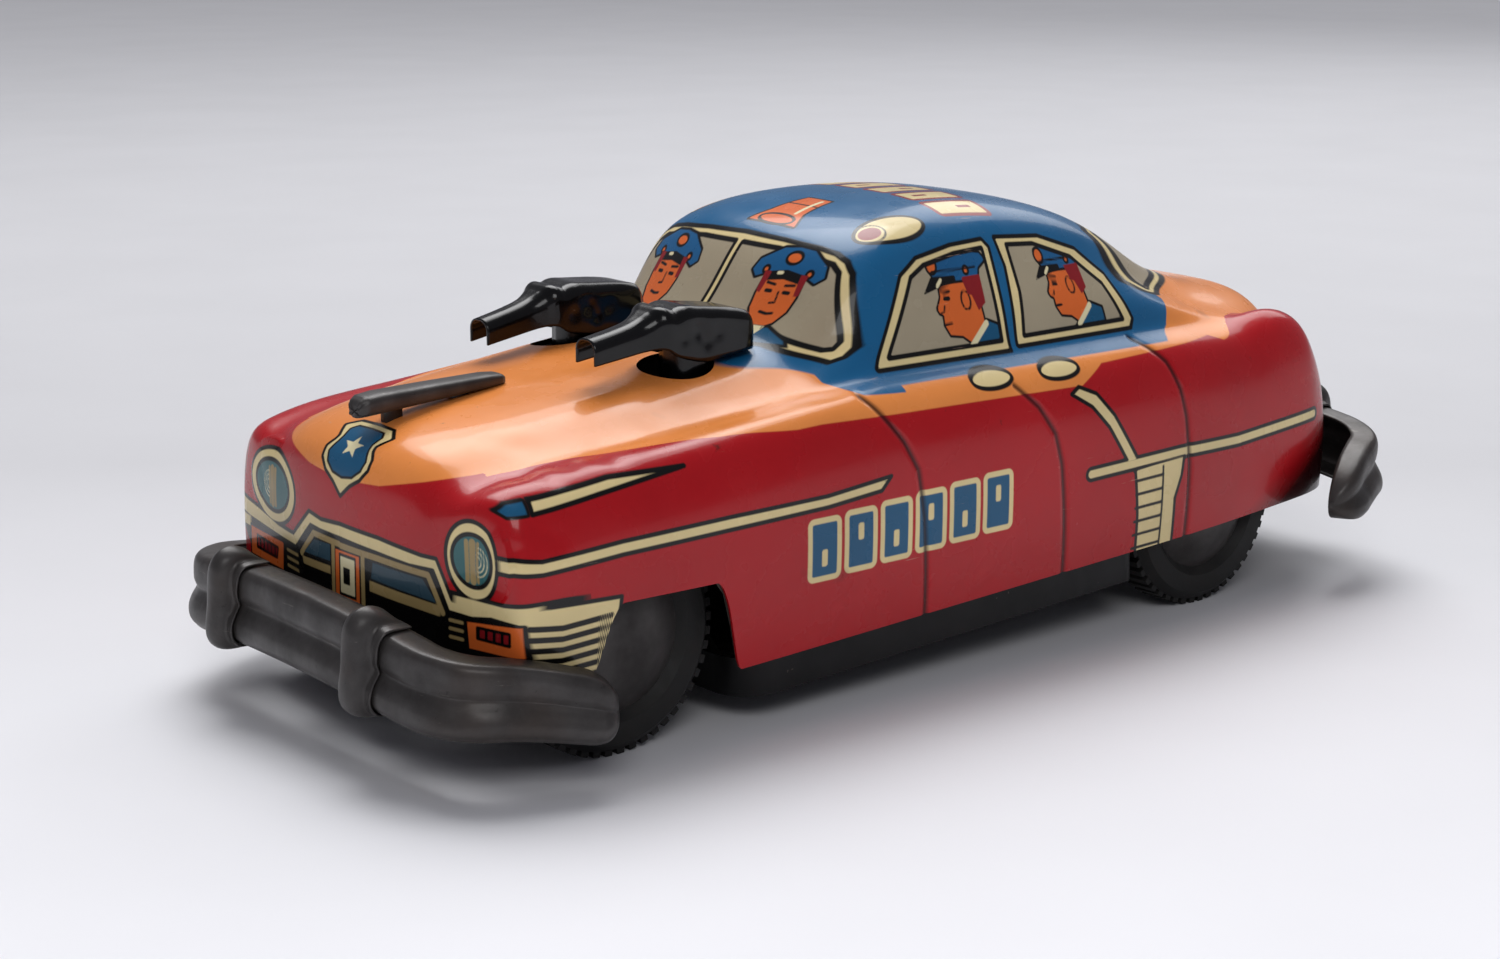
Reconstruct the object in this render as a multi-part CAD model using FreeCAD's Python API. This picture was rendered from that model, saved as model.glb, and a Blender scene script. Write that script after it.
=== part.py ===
import FreeCAD, Part
import math
import os
from FreeCAD import Vector

# Clockwork tin car with two rocking guns on the bonnet.
# X points forward, Y to the car's left, Z up. Lengths are in mm and angles in degrees.
# Heights are counted from the ground. The part's origin lies on the underside of the base
# plate, at X = 0 on the centre plane, so every piece is lowered by base_height when written.

# ---- body pressing
tin = 0.45                  # sheet of the body, bumpers and guns
body_nose = 104.4           # foremost point of the nose
body_tail = -100.6          # rearmost point of the tail
body_half_width = 41.6      # widest half of the section that the guide lines describe
rim_floor = 8.0             # the pressing is drawn down to here before its edge is trimmed
sill_fold = 1.6             # how far the lower edge curls in
sill_front = (57.6, 11.2)   # lower edge just behind the front wheel
sill_rear = (-47.0, 15.7)   # lower edge in front of the rear wheel
sill_tail = 17.0            # lower edge under the tail
sill_nose = 16.0            # lower edge in front of the front wheel
arch_top = 26.5             # height of the front wheel opening
arch_front = 85.0           # foremost point of the front wheel opening
arch_lean = 3.4             # how far its front and rear edges lean in towards the top
arch_corner = 4.0
gun_hole = 6.3              # radius of the round hole under each gun
gun_hole_x = 49.6
key_hole = 3.4
headlight_x = 98.6
headlight_y = 30.3
headlight_z = 33.9
headlight = 8.2             # radius of the raised headlight
headlight_rise = 1.3

# Guide lines of the body: value along X, from tail to nose
deck_line = [(-101, 46), (-92, 53.6), (-66, 58.4), (34, 57.6), (60, 54.6), (92, 50.4), (99, 48.8),
             (104.5, 44.5)]
roof_line = [(-78, 56.5), (-64, 61.0), (-50, 68.8), (-36, 74.8), (-15, 78.2), (8, 77.9),
             (20, 75.2), (26, 70.5), (35, 58.0)]
crest_line = [(-101, 38), (-94, 44), (-86, 51.0), (-76, 52.8), (-66, 49.8), (-50, 50.8), (30, 51.0),
              (70, 47.0), (92, 45.8), (104.5, 42)]
width_line = [(-101, 36.0), (-80, 38.8), (-50, 41.6), (60, 42.2), (86, 41.2), (98, 40.4), (104.5, 39.5)]
cabin_line = [(-78, 0), (-62, 0.5), (-46, 1), (24, 1), (30, 0.72), (35.5, 0)]
lean_line = [(-60, 5.0), (-10, 3.4), (20, 0.2), (40, 0.0)]
valley_line = [(-101, 3.0), (-76, 3.6), (-64, 0.8), (-50, 0), (40, 0), (70, 0.6), (104, 1.0)]
# Stations of the body: X, share of the full section there, and how far its sides sweep back
stations = [(body_tail, 0.10, 0), (body_tail, 0.45, 0.6), (body_tail + 0.2, 0.80, 4),
            (body_tail + 2.1, 0.97, 7), (-91, 1, 4), (-84, 1, 0), (-76, 1, 0), (-67, 1, 0), (-56, 1, 0),
            (-44, 1, 0), (-30, 1, 0), (-12, 1, 0), (8, 1, 0), (18, 1, 2), (24, 1, 4), (29.5, 1, 4.8),
            (35, 1, 5), (39, 1, 4), (52, 1, 0), (70, 1, 0), (86, 1, 0), (97, 1, 2),
            (body_nose - 1.5, 1, 5.2), (body_nose - 0.2, 0.86, 5.8), (body_nose, 0.45, 2),
            (body_nose, 0.10, 0)]

# ---- base plate, a shallow tray that follows the body's rising lower edge
base_height = 7.35          # underside above the ground, at X = 0
base_slope = 2.75           # nose-down lean of the tray
base_wall = 0.5
base_depth = 6.5
base_half_width = 39.0
base_front = 55.0
base_rear = -36.5
base_corner = 7.0
tongue_half_width = 25.0
tongue_rear = -103.0
tongue_rim = 16.1           # the tongue's rim is trimmed to this height, under the tail
lug_length = 2.6            # inward dimples of the body that hold the tray's rim
lug_radius = 1.1
lug_places = [46.0, 6.0, -33.0]

# ---- wheels and axles
wheel_radius = 19.0
tyre_width = 8.5
tyre_inner = 12.0
tyre_notches = 50
notch_depth = 0.9
front_axle_x = 77.4
rear_axle_x = -57.5
track = 32.3                # wheel centre from the centre plane
axle_radius = 1.4
running = 0.06              # radial clearance of shafts in their bearings
hub_dome = 3.4
hub_sheet = 0.7
hub_boss = 3.2
tyre_shoulder = 1.4         # bevel between a tyre's sidewall and its tread
side_play = 0.4             # end clearance of turning pieces between fixed ones

# ---- clockwork
gear_module = 0.8
great_teeth = 48
pinion_teeth = 10
second_teeth = 36
axle_teeth = 12
flick_pinion_teeth = 10
mesh_backlash = 0.16        # tooth thinning at the pitch line
wheel_sheet = 1.2
plate_inner = 12.5          # motor side plates: inner face from the centre plane
plate_sheet = 1.0
flange_places = [-62.0, -20.0, 6.0]
flange_width = 6.5
rivet_radius = 1.0
rivet_head = 0.8            # height of a rivet's head, above what it holds
rivet_sink = 1.4            # radius of its flush end in the tray's underside
seat = 0.02                 # hair's breadth between pieces that are clamped together
through = 20.0              # how far drills and cutters reach past what they cut
spring_arbor = (-18.5, 31.5)
flick_angle = -10.0         # direction from the spring arbor to the flick arbor
small_arbor = 1.2
spring_arbor_radius = 2.0
key_spigot = 1.6            # radius of the winding arbor through the plates and in the key
collar_rise = 0.8           # how far a thin arbor's collars stand out
collar_length = 1.0
arbor_end = 0.8             # length of an arbor or pin past its bearing
pinion_width = 2.4
great_layer = -1.6          # Y of each wheel's right-hand face
second_layer = 5.0
flick_layer = 8.0
ratchet_layer = 0.0
ratchet_radius = 7.0
ratchet_teeth = 12
ratchet_tooth = 1.3
click_clear = 0.35          # click's nose above the ratchet's tips
click_angle = 160.0         # direction of the click's pivot from the spring arbor
click_pivot_radius = 12.5
click_sweep = 38.0          # angle between its pivot and its nose
click_pin_radius = 0.8
click_pin_head = 1.6
click_eye = 1.9
click_half_width = 1.7
click_nose_width = 1.5
click_spring_foot = 15.5    # distance of the spring's foot from the spring arbor
click_spring_half = 0.2
click_spring_width = 1.0
spring_strip = 0.35
spring_height = 8.0
spring_turns = 6
spring_outer = 15.0
pillar_radius = 1.5
pillar_spigot = 1.0         # riveted end of a pillar in its plate
pillar_places = [(-10.5, 53.0), (10.0, 15.5), (-31.5, 13.2), (-66.0, 31.5)]
spring_post = pillar_places[0]
star_points = 6
star_radius = 5.0
star_root = 2.6
star_sheet = 1.5

# ---- key on the right-hand side
key_start = 44.0            # inner end of the key's shank from the centre plane
key_length = 15.0
key_width = 25.0
key_sheet = 1.4
key_socket = 8.0            # depth of the square end in the key's shank
key_web = 6.4               # width of the solid middle between the wings
shank_radius = 2.9

# ---- gun rocker
rocker_x = 46.0
rocker_z = 25.0
rocker_pin = 1.3
rocker_sheet = 1.0
bracket_half_width = 8.0
gun_y = 15.0
gun_reach = 67.5            # X of the muzzle
gun_rear = 37.0
breech_front = 54.0
gun_bottom = 57.4           # underside of the muzzle
barrel_height = 3.4
barrel_width = 4.4
breech_width = 8.6
breech_top = 64.4
breech_bottom = 56.6
breech_rise = 1.2           # its lower edge rises this much towards the windscreen
gun_fall = 1.9              # how much lower the top of the breech is at its rear end
stem_length_x = 5.0
stem_x = 47.4
stem_width = 4.6
stem_bottom = 33.0
ear_round = 3.5             # radius of the bracket's ears round the rocker's pin
web_clear = 1.0             # room between those ears and the rocker's cross web
web_height = rocker_z + ear_round + web_clear
tail_width = 5.0
rocker_lift_clear = 0.3     # tail above the star's points, at rest
toe_length = 11.5
leaf_sheet = 0.4

# ---- bumpers
bumper_half = 30.0          # half length of the nearly straight middle
bumper_plane = 108.0        # X of the bar's rear edge at the centre
bumper_bow = 1.0
bumper_bend = 9.0           # radius of the corner, along the rear edge
bumper_wing = 15.0          # length of the wing past the corner
wing_angle = 24.0           # how far the wings splay from straight back
wing_droop = 6.0
wing_tip_corner = 4.2
bumper_middle = 19.7        # height of the groove between the two lobes
bumper_height = 10.6
bumper_depth = 4.8
groove_angle = 60.0         # each lobe's arc ends this far past its foremost line
rear_bar_shift = 5.0        # how much closer to the body than the front bumper the rear one sits
rear_bar_rise = 5.3         # how much higher it sits
rear_bar_tilt = 15.0        # how far it leans back about its middle, so that its wing tips drop
overrider_y = 20.0
overrider_bottom = 11.9
overrider_height = 15.6
overrider_width = 8.6       # of the sleeve that hugs the bar
overrider_bead = 2.2
arm_y = 12.0
arm_width = 8.0
arm_sheet = 1.2
arm_slot_clear = 0.3

# ---- front axle bracket
strap_half_width = 23.0
strap_rear = 30.0
strap_front = 88.0
strap_height = 12.6         # underside of its front half
ear_rear = 70.0
ear_top = 25.0

# ---- bonnet ornament
ornament_front = 101.0
ornament_rear = 73.5
ornament_front_top = 54.2
ornament_rear_top = 54.9
ornament_depth = 3.6
ornament_half_width = 2.7


# ---- helpers
def along(line, x):
    """Value of a guide line at x, straight between its points."""
    for (x0, v0), (x1, v1) in zip(line, line[1:]):
        if x <= x1:
            return v0 + (v1 - v0) * max(0.0, x - x0) / (x1 - x0)
    return line[-1][1]


def write(shape, name):
    """Lowers the shape to the part's origin and writes it."""
    shape = shape.copy()
    shape.translate(Vector(0, 0, -base_height))
    shape.exportStep("parts/" + name + ".step")


def rounded(points, radius):
    """Closed wire in the XZ plane through the points, with every corner rounded."""
    edges = []
    ends = []
    count = len(points)
    for i in range(count):
        here = Vector(points[i][0], 0, points[i][1])
        back = Vector(points[i - 1][0], 0, points[i - 1][1]) - here
        ahead = Vector(points[(i + 1) % count][0], 0, points[(i + 1) % count][1]) - here
        turn = back.getAngle(ahead)
        wanted = radius[i] if isinstance(radius, list) else radius
        cut = wanted / math.tan(turn / 2)
        start = here + back.normalize() * cut
        end = here + ahead.normalize() * cut
        to_centre = (back + ahead).normalize()
        centre = here + to_centre * (wanted / math.sin(turn / 2))
        ends.append((start, centre - to_centre * wanted, end))
    for i in range(count):
        start, middle, end = ends[i]
        edges.append(Part.Arc(start, middle, end).toShape())
        following = ends[(i + 1) % count][0]
        if end.distanceToPoint(following) > 1e-6:
            edges.append(Part.makeLine(end, following))
    return Part.Wire(edges)


def plate(points, radius, y_low, y_high):
    """Flat plate between two Y planes, from its rounded outline in XZ."""
    face = Part.Face(rounded(points, radius))
    face.translate(Vector(0, y_low, 0))
    return face.extrude(Vector(0, y_high - y_low, 0))


def sharp_plate(points, y_low, y_high):
    """Flat plate between two Y planes, from its straight-sided outline in XZ."""
    loop = [Vector(x, y_low, z) for x, z in points]
    return Part.Face(Part.makePolygon(loop + loop[:1])).extrude(Vector(0, y_high - y_low, 0))


def rod(radius, place, y_low, y_high):
    """Round bar along Y; place is its X and height."""
    return Part.makeCylinder(radius, y_high - y_low, Vector(place[0], y_low, place[1]), Vector(0, 1, 0))


def both_sides(shape):
    """The shape and its mirror image in the car's centre plane."""
    return Part.makeCompound([shape, shape.mirror(Vector(0, 0, 0), Vector(0, 1, 0))])


def polar(place, radius, angle):
    """Point at the given distance and direction from place, in XZ."""
    return (place[0] + radius * math.cos(math.radians(angle)),
            place[1] + radius * math.sin(math.radians(angle)))


def floor_top(x):
    """Height of the tray floor's upper face."""
    lean = math.radians(base_slope)
    return base_height + base_wall / math.cos(lean) - x * math.tan(lean)


# ---- body pressing
def section(x, floor):
    """Right to centre half of the section's control polygon at x, from the lower edge up."""
    wide, crest, deck = along(width_line, x), along(crest_line, x), along(deck_line, x)
    roof, cabin = along(roof_line, x), along(cabin_line, x)
    lean, valley = along(lean_line, x), along(valley_line, x)
    side = [(wide - sill_fold, floor), (wide + 0.2, floor + 11.5), (wide + 0.5, 0.4 * floor + 0.6 * crest),
            (wide - 0.9, crest - 3.8), (wide - 4.8, crest + 0.6)]
    open_top = [(wide - 9.6, crest + 0.4), (wide - 12.2, crest + 0.8 - valley), (wide - 17, deck - 3.6),
                (wide - 22, deck - 0.9), (9, deck), (0, deck)]
    cabin_top = [(wide - 9.6, crest + 1.3), (wide - 10.6, crest + 7), (wide - 12.8 - lean, roof - 8.5),
                 (wide - 15.8 - lean, roof - 2.6), (13, roof - 0.2), (0, roof)]
    top = [(a[0] * (1 - cabin) + b[0] * cabin, a[1] * (1 - cabin) + b[1] * cabin)
           for a, b in zip(open_top, cabin_top)]
    return side + top


def body_net(inset, floor):
    """Control net of the body's skin, drawn in by inset on every side."""
    half_length = (body_nose - body_tail) / 2
    middle = (body_nose + body_tail) / 2
    height = max(value for x, value in roof_line)
    net = []
    for x, share, sweep in stations:
        half = []
        for y, z in section(x, floor):
            swept = x - math.copysign(sweep * (y / body_half_width) ** 2, x)
            across = y * share
            up = floor + (z - floor) * share
            half.append(Vector(middle + (swept - middle) * (1 - inset / half_length),
                               across * (1 - inset / body_half_width),
                               floor + (up - floor) * (1 - inset / (height - floor))))
        net.append(half + [Vector(p.x, -p.y, p.z) for p in reversed(half[:-1])])
    return net


def skin_solid(net):
    """Solid under a cubic surface whose control net's first and last columns lie on a flat floor."""
    degree = 3

    def knots(count):
        spans = count - degree
        values = [i / spans for i in range(spans + 1)]
        repeats = [degree + 1] + [1] * (spans - 1) + [degree + 1]
        return values, repeats
    along_values, along_repeats = knots(len(net))
    across_values, across_repeats = knots(len(net[0]))
    surface = Part.BSplineSurface()
    surface.buildFromPolesMultsKnots(net, along_repeats, across_repeats, along_values, across_values,
                                     False, False, degree, degree)
    skin = surface.toShape()
    first, last = net[0], net[-1]
    rims = [edge for edge in skin.Edges if edge.BoundBox.ZLength < 1e-4]
    ends = [edge for edge in skin.Edges if edge.BoundBox.ZLength >= 1e-4]
    closers = [Part.makeLine(first[0], first[-1]), Part.makeLine(last[0], last[-1])]
    ends.sort(key=lambda edge: edge.BoundBox.Center.x)
    if first[0].x > last[0].x:
        closers.reverse()
    caps = [Part.Face(Part.Wire([end, closer])) for end, closer in zip(ends, closers)]
    floor = Part.Face(Part.Wire(Part.sortEdges(rims + closers)[0]))
    shell = Part.makeShell([skin, floor] + caps)
    shell.sewShape()
    solid = Part.Solid(shell)
    if solid.Volume < 0:
        solid.reverse()
    return solid


def sill_cutter():
    """Everything under the body's lower edge, with the front wheel opening."""
    outside = 130.0
    points = [(-outside, -10), (-outside, sill_tail), (body_tail + 12, sill_tail), sill_rear, sill_front,
              (sill_front[0] + arch_lean, arch_top), (arch_front - arch_lean, arch_top),
              (arch_front, sill_nose), (outside, sill_nose), (outside, -10)]
    radii = [1, 1, 20, 20, 1.5, arch_corner, arch_corner, 1.5, 1, 1]
    return plate(points, radii, -outside / 2, outside / 2)


def headlight_bulge(inset):
    """Shallow cap pressed out for a headlight; only its front stands proud of the nose."""
    ball = (headlight ** 2 + headlight_rise ** 2) / (2 * headlight_rise) - inset
    depth = headlight_x + headlight_rise - ball - inset
    cap = Part.makeSphere(ball, Vector(depth, headlight_y, headlight_z))
    front = Part.makeCylinder(headlight - inset, 6, Vector(headlight_x - 4, headlight_y, headlight_z),
                              Vector(1, 0, 0))
    return cap.common(front)


def body_shell():
    outer = skin_solid(body_net(0, rim_floor))
    inner = skin_solid(body_net(tin, rim_floor - 1))
    for side in (1, -1):
        for solid_inset in (0, tin):
            bulge = headlight_bulge(solid_inset)
            if side < 0:
                bulge = bulge.mirror(Vector(0, 0, 0), Vector(0, 1, 0))
            if solid_inset == 0:
                outer = outer.fuse(bulge)
            else:
                inner = inner.fuse(bulge)
    shell = outer.cut(inner).cut(sill_cutter())
    for side in (1, -1):
        hole = Part.makeCylinder(gun_hole, 30, Vector(gun_hole_x, side * gun_y, 45))
        shell = shell.cut(hole)
        slot = Part.makeBox(through, arm_width + 2 * arm_slot_clear, arm_sheet + 2 * arm_slot_clear,
                            Vector(body_nose - 8, side * arm_y - arm_width / 2 - arm_slot_clear,
                                   bumper_middle - arm_sheet / 2 - arm_slot_clear))
        shell = shell.cut(slot)
    shell = shell.cut(rod(key_hole, spring_arbor, -body_half_width - through, through / 2 - body_half_width))
    lugs = [lug(x, side) for x in lug_places for side in (1, -1)]
    shell = shell.fuse([piece.common(outer) for piece in lugs])
    return shell.removeSplitter()


def lug(x, side):
    """Dimple of the body's lower edge that reaches through the tray's rim."""
    z = sill_line(x) + lug_radius + 0.8
    start = Vector(x, side * (base_half_width - base_wall - lug_length + 1.4), z)
    return Part.makeCylinder(lug_radius, 8, start, Vector(0, side, 0))


def sill_line(x):
    """Height of the body's lower edge between the wheels."""
    share = (x - sill_rear[0]) / (sill_front[0] - sill_rear[0])
    return sill_rear[1] + share * (sill_front[1] - sill_rear[1])


# ---- base plate
def tray_outline(inset):
    """Plan outline of the tray, drawn in by inset."""
    wide, slim = base_half_width - inset, tongue_half_width - inset
    front, step, rear = base_front - inset, base_rear + inset, tongue_rear + inset
    half = [(rear, slim), (step, slim), (step, wide), (front, wide)]
    points = half + [(x, -y) for x, y in reversed(half)]
    radii = [base_corner - inset, 2 + inset, 3 - inset, base_corner - inset]
    wire = rounded(points, radii + radii[::-1])
    wire.rotate(Vector(0, 0, 0), Vector(1, 0, 0), 90)
    return Part.Face(wire)


def base_plate():
    tray = tray_outline(0).extrude(Vector(0, 0, base_depth))
    hollow = tray_outline(base_wall).extrude(Vector(0, 0, base_depth))
    hollow.translate(Vector(0, 0, base_wall))
    tray = tray.cut(hollow)
    tray.rotate(Vector(0, 0, 0), Vector(0, 1, 0), base_slope)
    tray.translate(Vector(0, 0, base_height))
    behind = body_tail + 8 - tongue_rear
    tray = tray.cut(Part.makeBox(behind + 5, 2 * base_half_width, through,
                                 Vector(tongue_rear - 5, -base_half_width, tongue_rim)))
    for x in lug_places:
        for side in (1, -1):
            tray = tray.cut(lug_slot(x, side))
    return drilled(tray)


def lug_slot(x, side):
    """Round hole in the tray's rim for a lug, with a little room."""
    z = sill_line(x) + lug_radius + 0.8
    return Part.makeCylinder(lug_radius + 0.1, 4, Vector(x, side * (base_half_width - 2), z),
                             Vector(0, side, 0))


# ---- wheels and axles
def revolved(profile):
    """Solid of revolution about the Y axis, from (radius, y) points."""
    loop = [Vector(r, y, 0) for r, y in profile]
    face = Part.Face(Part.makePolygon(loop + loop[:1]))
    return face.revolve(Vector(0, 0, 0), Vector(0, 1, 0), 360)


def tyre():
    """Rubber tyre about the Y axis: a rounded carcass with a notched tread ring."""
    half = tyre_width / 2
    shoulder = tyre_shoulder
    base = wheel_radius - notch_depth
    carcass = revolved([(tyre_inner, -half + shoulder), (tyre_inner + shoulder, -half),
                        (base - shoulder, -half), (base, -half + shoulder), (base, half - shoulder),
                        (base - shoulder, half), (tyre_inner + shoulder, half),
                        (tyre_inner, half - shoulder)])
    step = 2 * math.pi / tyre_notches
    loop = []
    for i in range(tyre_notches):
        for share, radius in ((-0.32, base - 0.2), (-0.27, wheel_radius), (0.27, wheel_radius),
                              (0.32, base - 0.2)):
            angle = (i + share) * step
            loop.append(Vector(radius * math.cos(angle), -half + shoulder, radius * math.sin(angle)))
    tread = Part.Face(Part.makePolygon(loop + loop[:1])).extrude(Vector(0, tyre_width - 2 * shoulder, 0))
    core = Part.makeCylinder(base - 1.0, tyre_width, Vector(0, -half, 0), Vector(0, 1, 0))
    return carcass.fuse(tread.cut(core))


def hub():
    """Domed wheel disc about the Y axis, its dome towards +Y, with a boss for the axle."""
    half = tyre_width / 2
    rim = half - tyre_shoulder
    ball = (tyre_inner ** 2 + hub_dome ** 2) / (2 * hub_dome)

    def dome(inset):
        sphere = Part.makeSphere(ball - inset, Vector(0, rim + hub_dome - ball, 0))
        barrel = Part.makeCylinder(tyre_inner - inset, hub_dome + 2, Vector(0, rim, 0), Vector(0, 1, 0))
        base = Part.makeCylinder(tyre_inner - inset, 2 * rim, Vector(0, -rim, 0), Vector(0, 1, 0))
        return base.fuse(sphere.common(barrel))
    inner = dome(hub_sheet)
    inner.translate(Vector(0, -0.01, 0))
    boss = Part.makeCylinder(hub_boss, half + rim + hub_dome - hub_sheet / 2, Vector(0, -half, 0),
                             Vector(0, 1, 0))
    bore = Part.makeCylinder(axle_radius, half + rim, Vector(0, -half, 0), Vector(0, 1, 0))
    return dome(0).cut(inner).fuse(boss).cut(bore)


def placed(shape, x, y, height, side=1):
    """The shape moved to a wheel place; side -1 turns its outer face to the right."""
    shape = shape.copy()
    if side < 0:
        shape = shape.mirror(Vector(0, 0, 0), Vector(0, 1, 0))
    shape.translate(Vector(x, side * y, height))
    return shape


def axle(x):
    """Wheel axle, its ends seated in the bosses of both hubs."""
    reach = track + tyre_width / 2 - tyre_shoulder
    return rod(axle_radius, (x, wheel_radius), -reach, reach)


# ---- toothed wheels
def gear_outline(teeth, phase):
    """Points of an involute gear about the origin in XZ, a tooth centred on the phase angle."""
    addendum, dedendum = 0.85, 1.2
    pressure = math.radians(20)
    pitch = teeth * gear_module / 2
    base = pitch * math.cos(pressure)
    tip, root = pitch + addendum * gear_module, pitch - dedendum * gear_module
    half = math.pi / (2 * teeth) - mesh_backlash / (2 * pitch)
    at_pitch = math.tan(pressure) - pressure

    def flank(radius):
        if radius <= base:
            return half + at_pitch
        roll = math.acos(base / radius)
        return half + at_pitch - (math.tan(roll) - roll)
    start = max(base, root)
    radii = [root] + [start + (tip - start) * i / 3 for i in range(4)]
    radii = radii if start > root else radii[1:]
    points = []
    for i in range(teeth):
        centre = math.radians(phase) + 2 * math.pi * i / teeth
        rising = [(r, centre - flank(r)) for r in radii]
        falling = [(r, centre + flank(r)) for r in reversed(radii)]
        points += rising + falling
    return [(r * math.cos(a), r * math.sin(a)) for r, a in points]


def gear(teeth, phase, place, y_low, thickness, bore):
    loop = [(place[0] + x, place[1] + z) for x, z in gear_outline(teeth, phase)]
    return sharp_plate(loop, y_low, y_low + thickness).cut(rod(bore, place, y_low - 1, y_low + thickness + 1))


def centre_distance(teeth_a, teeth_b):
    return (teeth_a + teeth_b) * gear_module / 2


def direction(start, end):
    return math.degrees(math.atan2(end[1] - start[1], end[0] - start[0]))


def mesh_phase(teeth, phase, place, other_teeth, other_place):
    """Phase of the other gear that puts a gap of it over a tooth of this one."""
    line = direction(place, other_place)
    share = teeth * (phase - line) / 360
    return line + 180 + 360 / other_teeth * (0.5 - share)


def second_place():
    """Second arbor: in mesh with both the great wheel and the rear axle's pinion, above their line."""
    axle_place = (rear_axle_x, wheel_radius)
    to_spring = centre_distance(great_teeth, pinion_teeth)
    to_axle = centre_distance(second_teeth, axle_teeth)
    span = math.hypot(spring_arbor[0] - axle_place[0], spring_arbor[1] - axle_place[1])
    foot = (to_spring ** 2 - to_axle ** 2 + span ** 2) / (2 * span)
    rise = math.sqrt(to_spring ** 2 - foot ** 2)
    line = direction(spring_arbor, axle_place)
    return polar(polar(spring_arbor, foot, line), rise, line - 90)


# ---- clockwork
def motor_plate():
    """Left side plate of the motor, resting on the tray floor, with a riveting flange."""
    rear, front = -71.0, 15.5
    points = [(rear, floor_top(rear)), (rear, 36.0), (-42, 38.0), (-17, 58.0), (-5, 58.0), (front, 31.0),
              (front, floor_top(front))]
    shape = plate(points, [0.5, 4, 12, 4, 4, 4, 0.5], plate_inner, plate_inner + plate_sheet)
    for x in flange_places:
        shape = shape.fuse(flange(x))
    small = small_arbor + running
    for place in (second_place(), flick_place()):
        shape = shape.cut(rod(small, place, 0, through))
    shape = shape.cut(rod(key_spigot + running, spring_arbor, 0, through))
    shape = shape.cut(rod(axle_radius + running, (rear_axle_x, wheel_radius), 0, through))
    for place in pillar_places:
        shape = shape.cut(rod(pillar_spigot, place, 0, through))
    return drilled(shape)


def flange(x):
    """Foot bent outwards from a motor plate, flat on the tray floor."""
    start, end = x - 4, x + 4
    points = [(start, floor_top(start)), (end, floor_top(end)), (end, floor_top(end) + plate_sheet),
              (start, floor_top(start) + plate_sheet)]
    return sharp_plate(points, plate_inner, plate_inner + plate_sheet + flange_width)


def rivet(x, y, grip):
    """Rivet square to the tray floor: head above what it holds, lower end flush in the tray's underside."""
    head = Part.makeCylinder(2 * rivet_radius, rivet_head, Vector(0, 0, grip + seat))
    return on_floor(rivet_shank(grip + rivet_head).fuse(head), x, y)


def rivet_shank(top):
    """Shank about Z from the tray's underside up to top, its lower end spread into a countersink."""
    shank = Part.makeCylinder(rivet_radius, base_wall + top, Vector(0, 0, -base_wall))
    return shank.fuse(Part.makeCone(rivet_sink, rivet_radius, base_wall, Vector(0, 0, -base_wall)))


def on_floor(shape, x, y):
    """The shape stood square on the tray floor at X and Y."""
    shape.rotate(Vector(0, 0, 0), Vector(0, 1, 0), base_slope)
    shape.translate(Vector(x, y, floor_top(x)))
    return shape


def rivet_places():
    """X, Y and the thickness held, for every rivet in the tray floor."""
    flange_y = plate_inner + plate_sheet + flange_width / 2
    places = [(x, side * flange_y, plate_sheet) for x in flange_places for side in (1, -1)]
    places += [(strap_rear + 4, side * strap_half_width * 0.6, arm_sheet) for side in (1, -1)]
    return places + [(rocker_x - 5.5, 0, arm_sheet + rocker_sheet)]


def drilled(shape):
    """The shape with a hole for every rivet's shank."""
    for x, y, grip in rivet_places():
        shape = shape.cut(on_floor(rivet_shank(grip + rivet_head), x, y))
    return shape


def flick_place():
    return polar(spring_arbor, centre_distance(great_teeth, flick_pinion_teeth), flick_angle)


def pillar(place):
    """Spacer between the motor plates, with a riveted spigot at each end."""
    inner = rod(pillar_radius, place, -plate_inner, plate_inner)
    end = plate_inner + plate_sheet + arbor_end
    return inner.fuse(rod(pillar_spigot, place, -end, end))


def mainspring():
    """Spiral strip from just round the arbor out to its post."""
    post = math.hypot(spring_post[0] - spring_arbor[0], spring_post[1] - spring_arbor[1])
    post_angle = direction(spring_arbor, spring_post)
    start = spring_arbor_radius + 0.1 + spring_strip / 2
    end = post - pillar_radius - spring_strip / 2
    count = 24 * spring_turns
    sides = ([], [])
    for i in range(count + 1):
        share = i / count
        reach = max(0.0, 1 - (1 - share) * spring_turns * 3)
        radius = start + (spring_outer - start) * share + (end - spring_outer) * reach ** 2
        angle = post_angle - 360 * spring_turns * (1 - share)
        for side, offset in zip(sides, (-spring_strip / 2, spring_strip / 2)):
            x, z = polar(spring_arbor, radius + offset, angle)
            side.append(Vector(x, 0, z))
    curves = []
    for side in sides:
        curve = Part.BSplineCurve()
        curve.interpolate(side)
        curves.append(curve.toShape())
    ends = [Part.makeLine(sides[0][k], sides[1][k]) for k in (0, -1)]
    face = Part.Face(Part.Wire(Part.sortEdges(curves + ends)[0]))
    face.translate(Vector(0, great_layer - 1.6 - spring_height, 0))
    return face.extrude(Vector(0, spring_height, 0))


def arbor(place, radius, collar, collar_spans):
    """Thin arbor through both plates, with collars that keep its wheels in their layers."""
    reach = plate_inner + plate_sheet + arbor_end
    shape = rod(radius, place, -reach, reach)
    for low, high in collar_spans:
        shape = shape.fuse(rod(collar, place, low, high))
    return shape


def winding_arbor():
    """Arbor of the mainspring, slimmer through the plates, with a collar beside the great wheel."""
    shoulder = plate_inner - side_play
    shape = rod(spring_arbor_radius, spring_arbor, -shoulder, shoulder)
    side = great_layer - side_play
    collar = rod(spring_arbor_radius + collar_rise, spring_arbor, side - collar_length, side)
    left_end = plate_inner + plate_sheet + arbor_end
    return shape.fuse([collar, rod(key_spigot, spring_arbor, -key_start - key_socket, left_end)])


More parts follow.
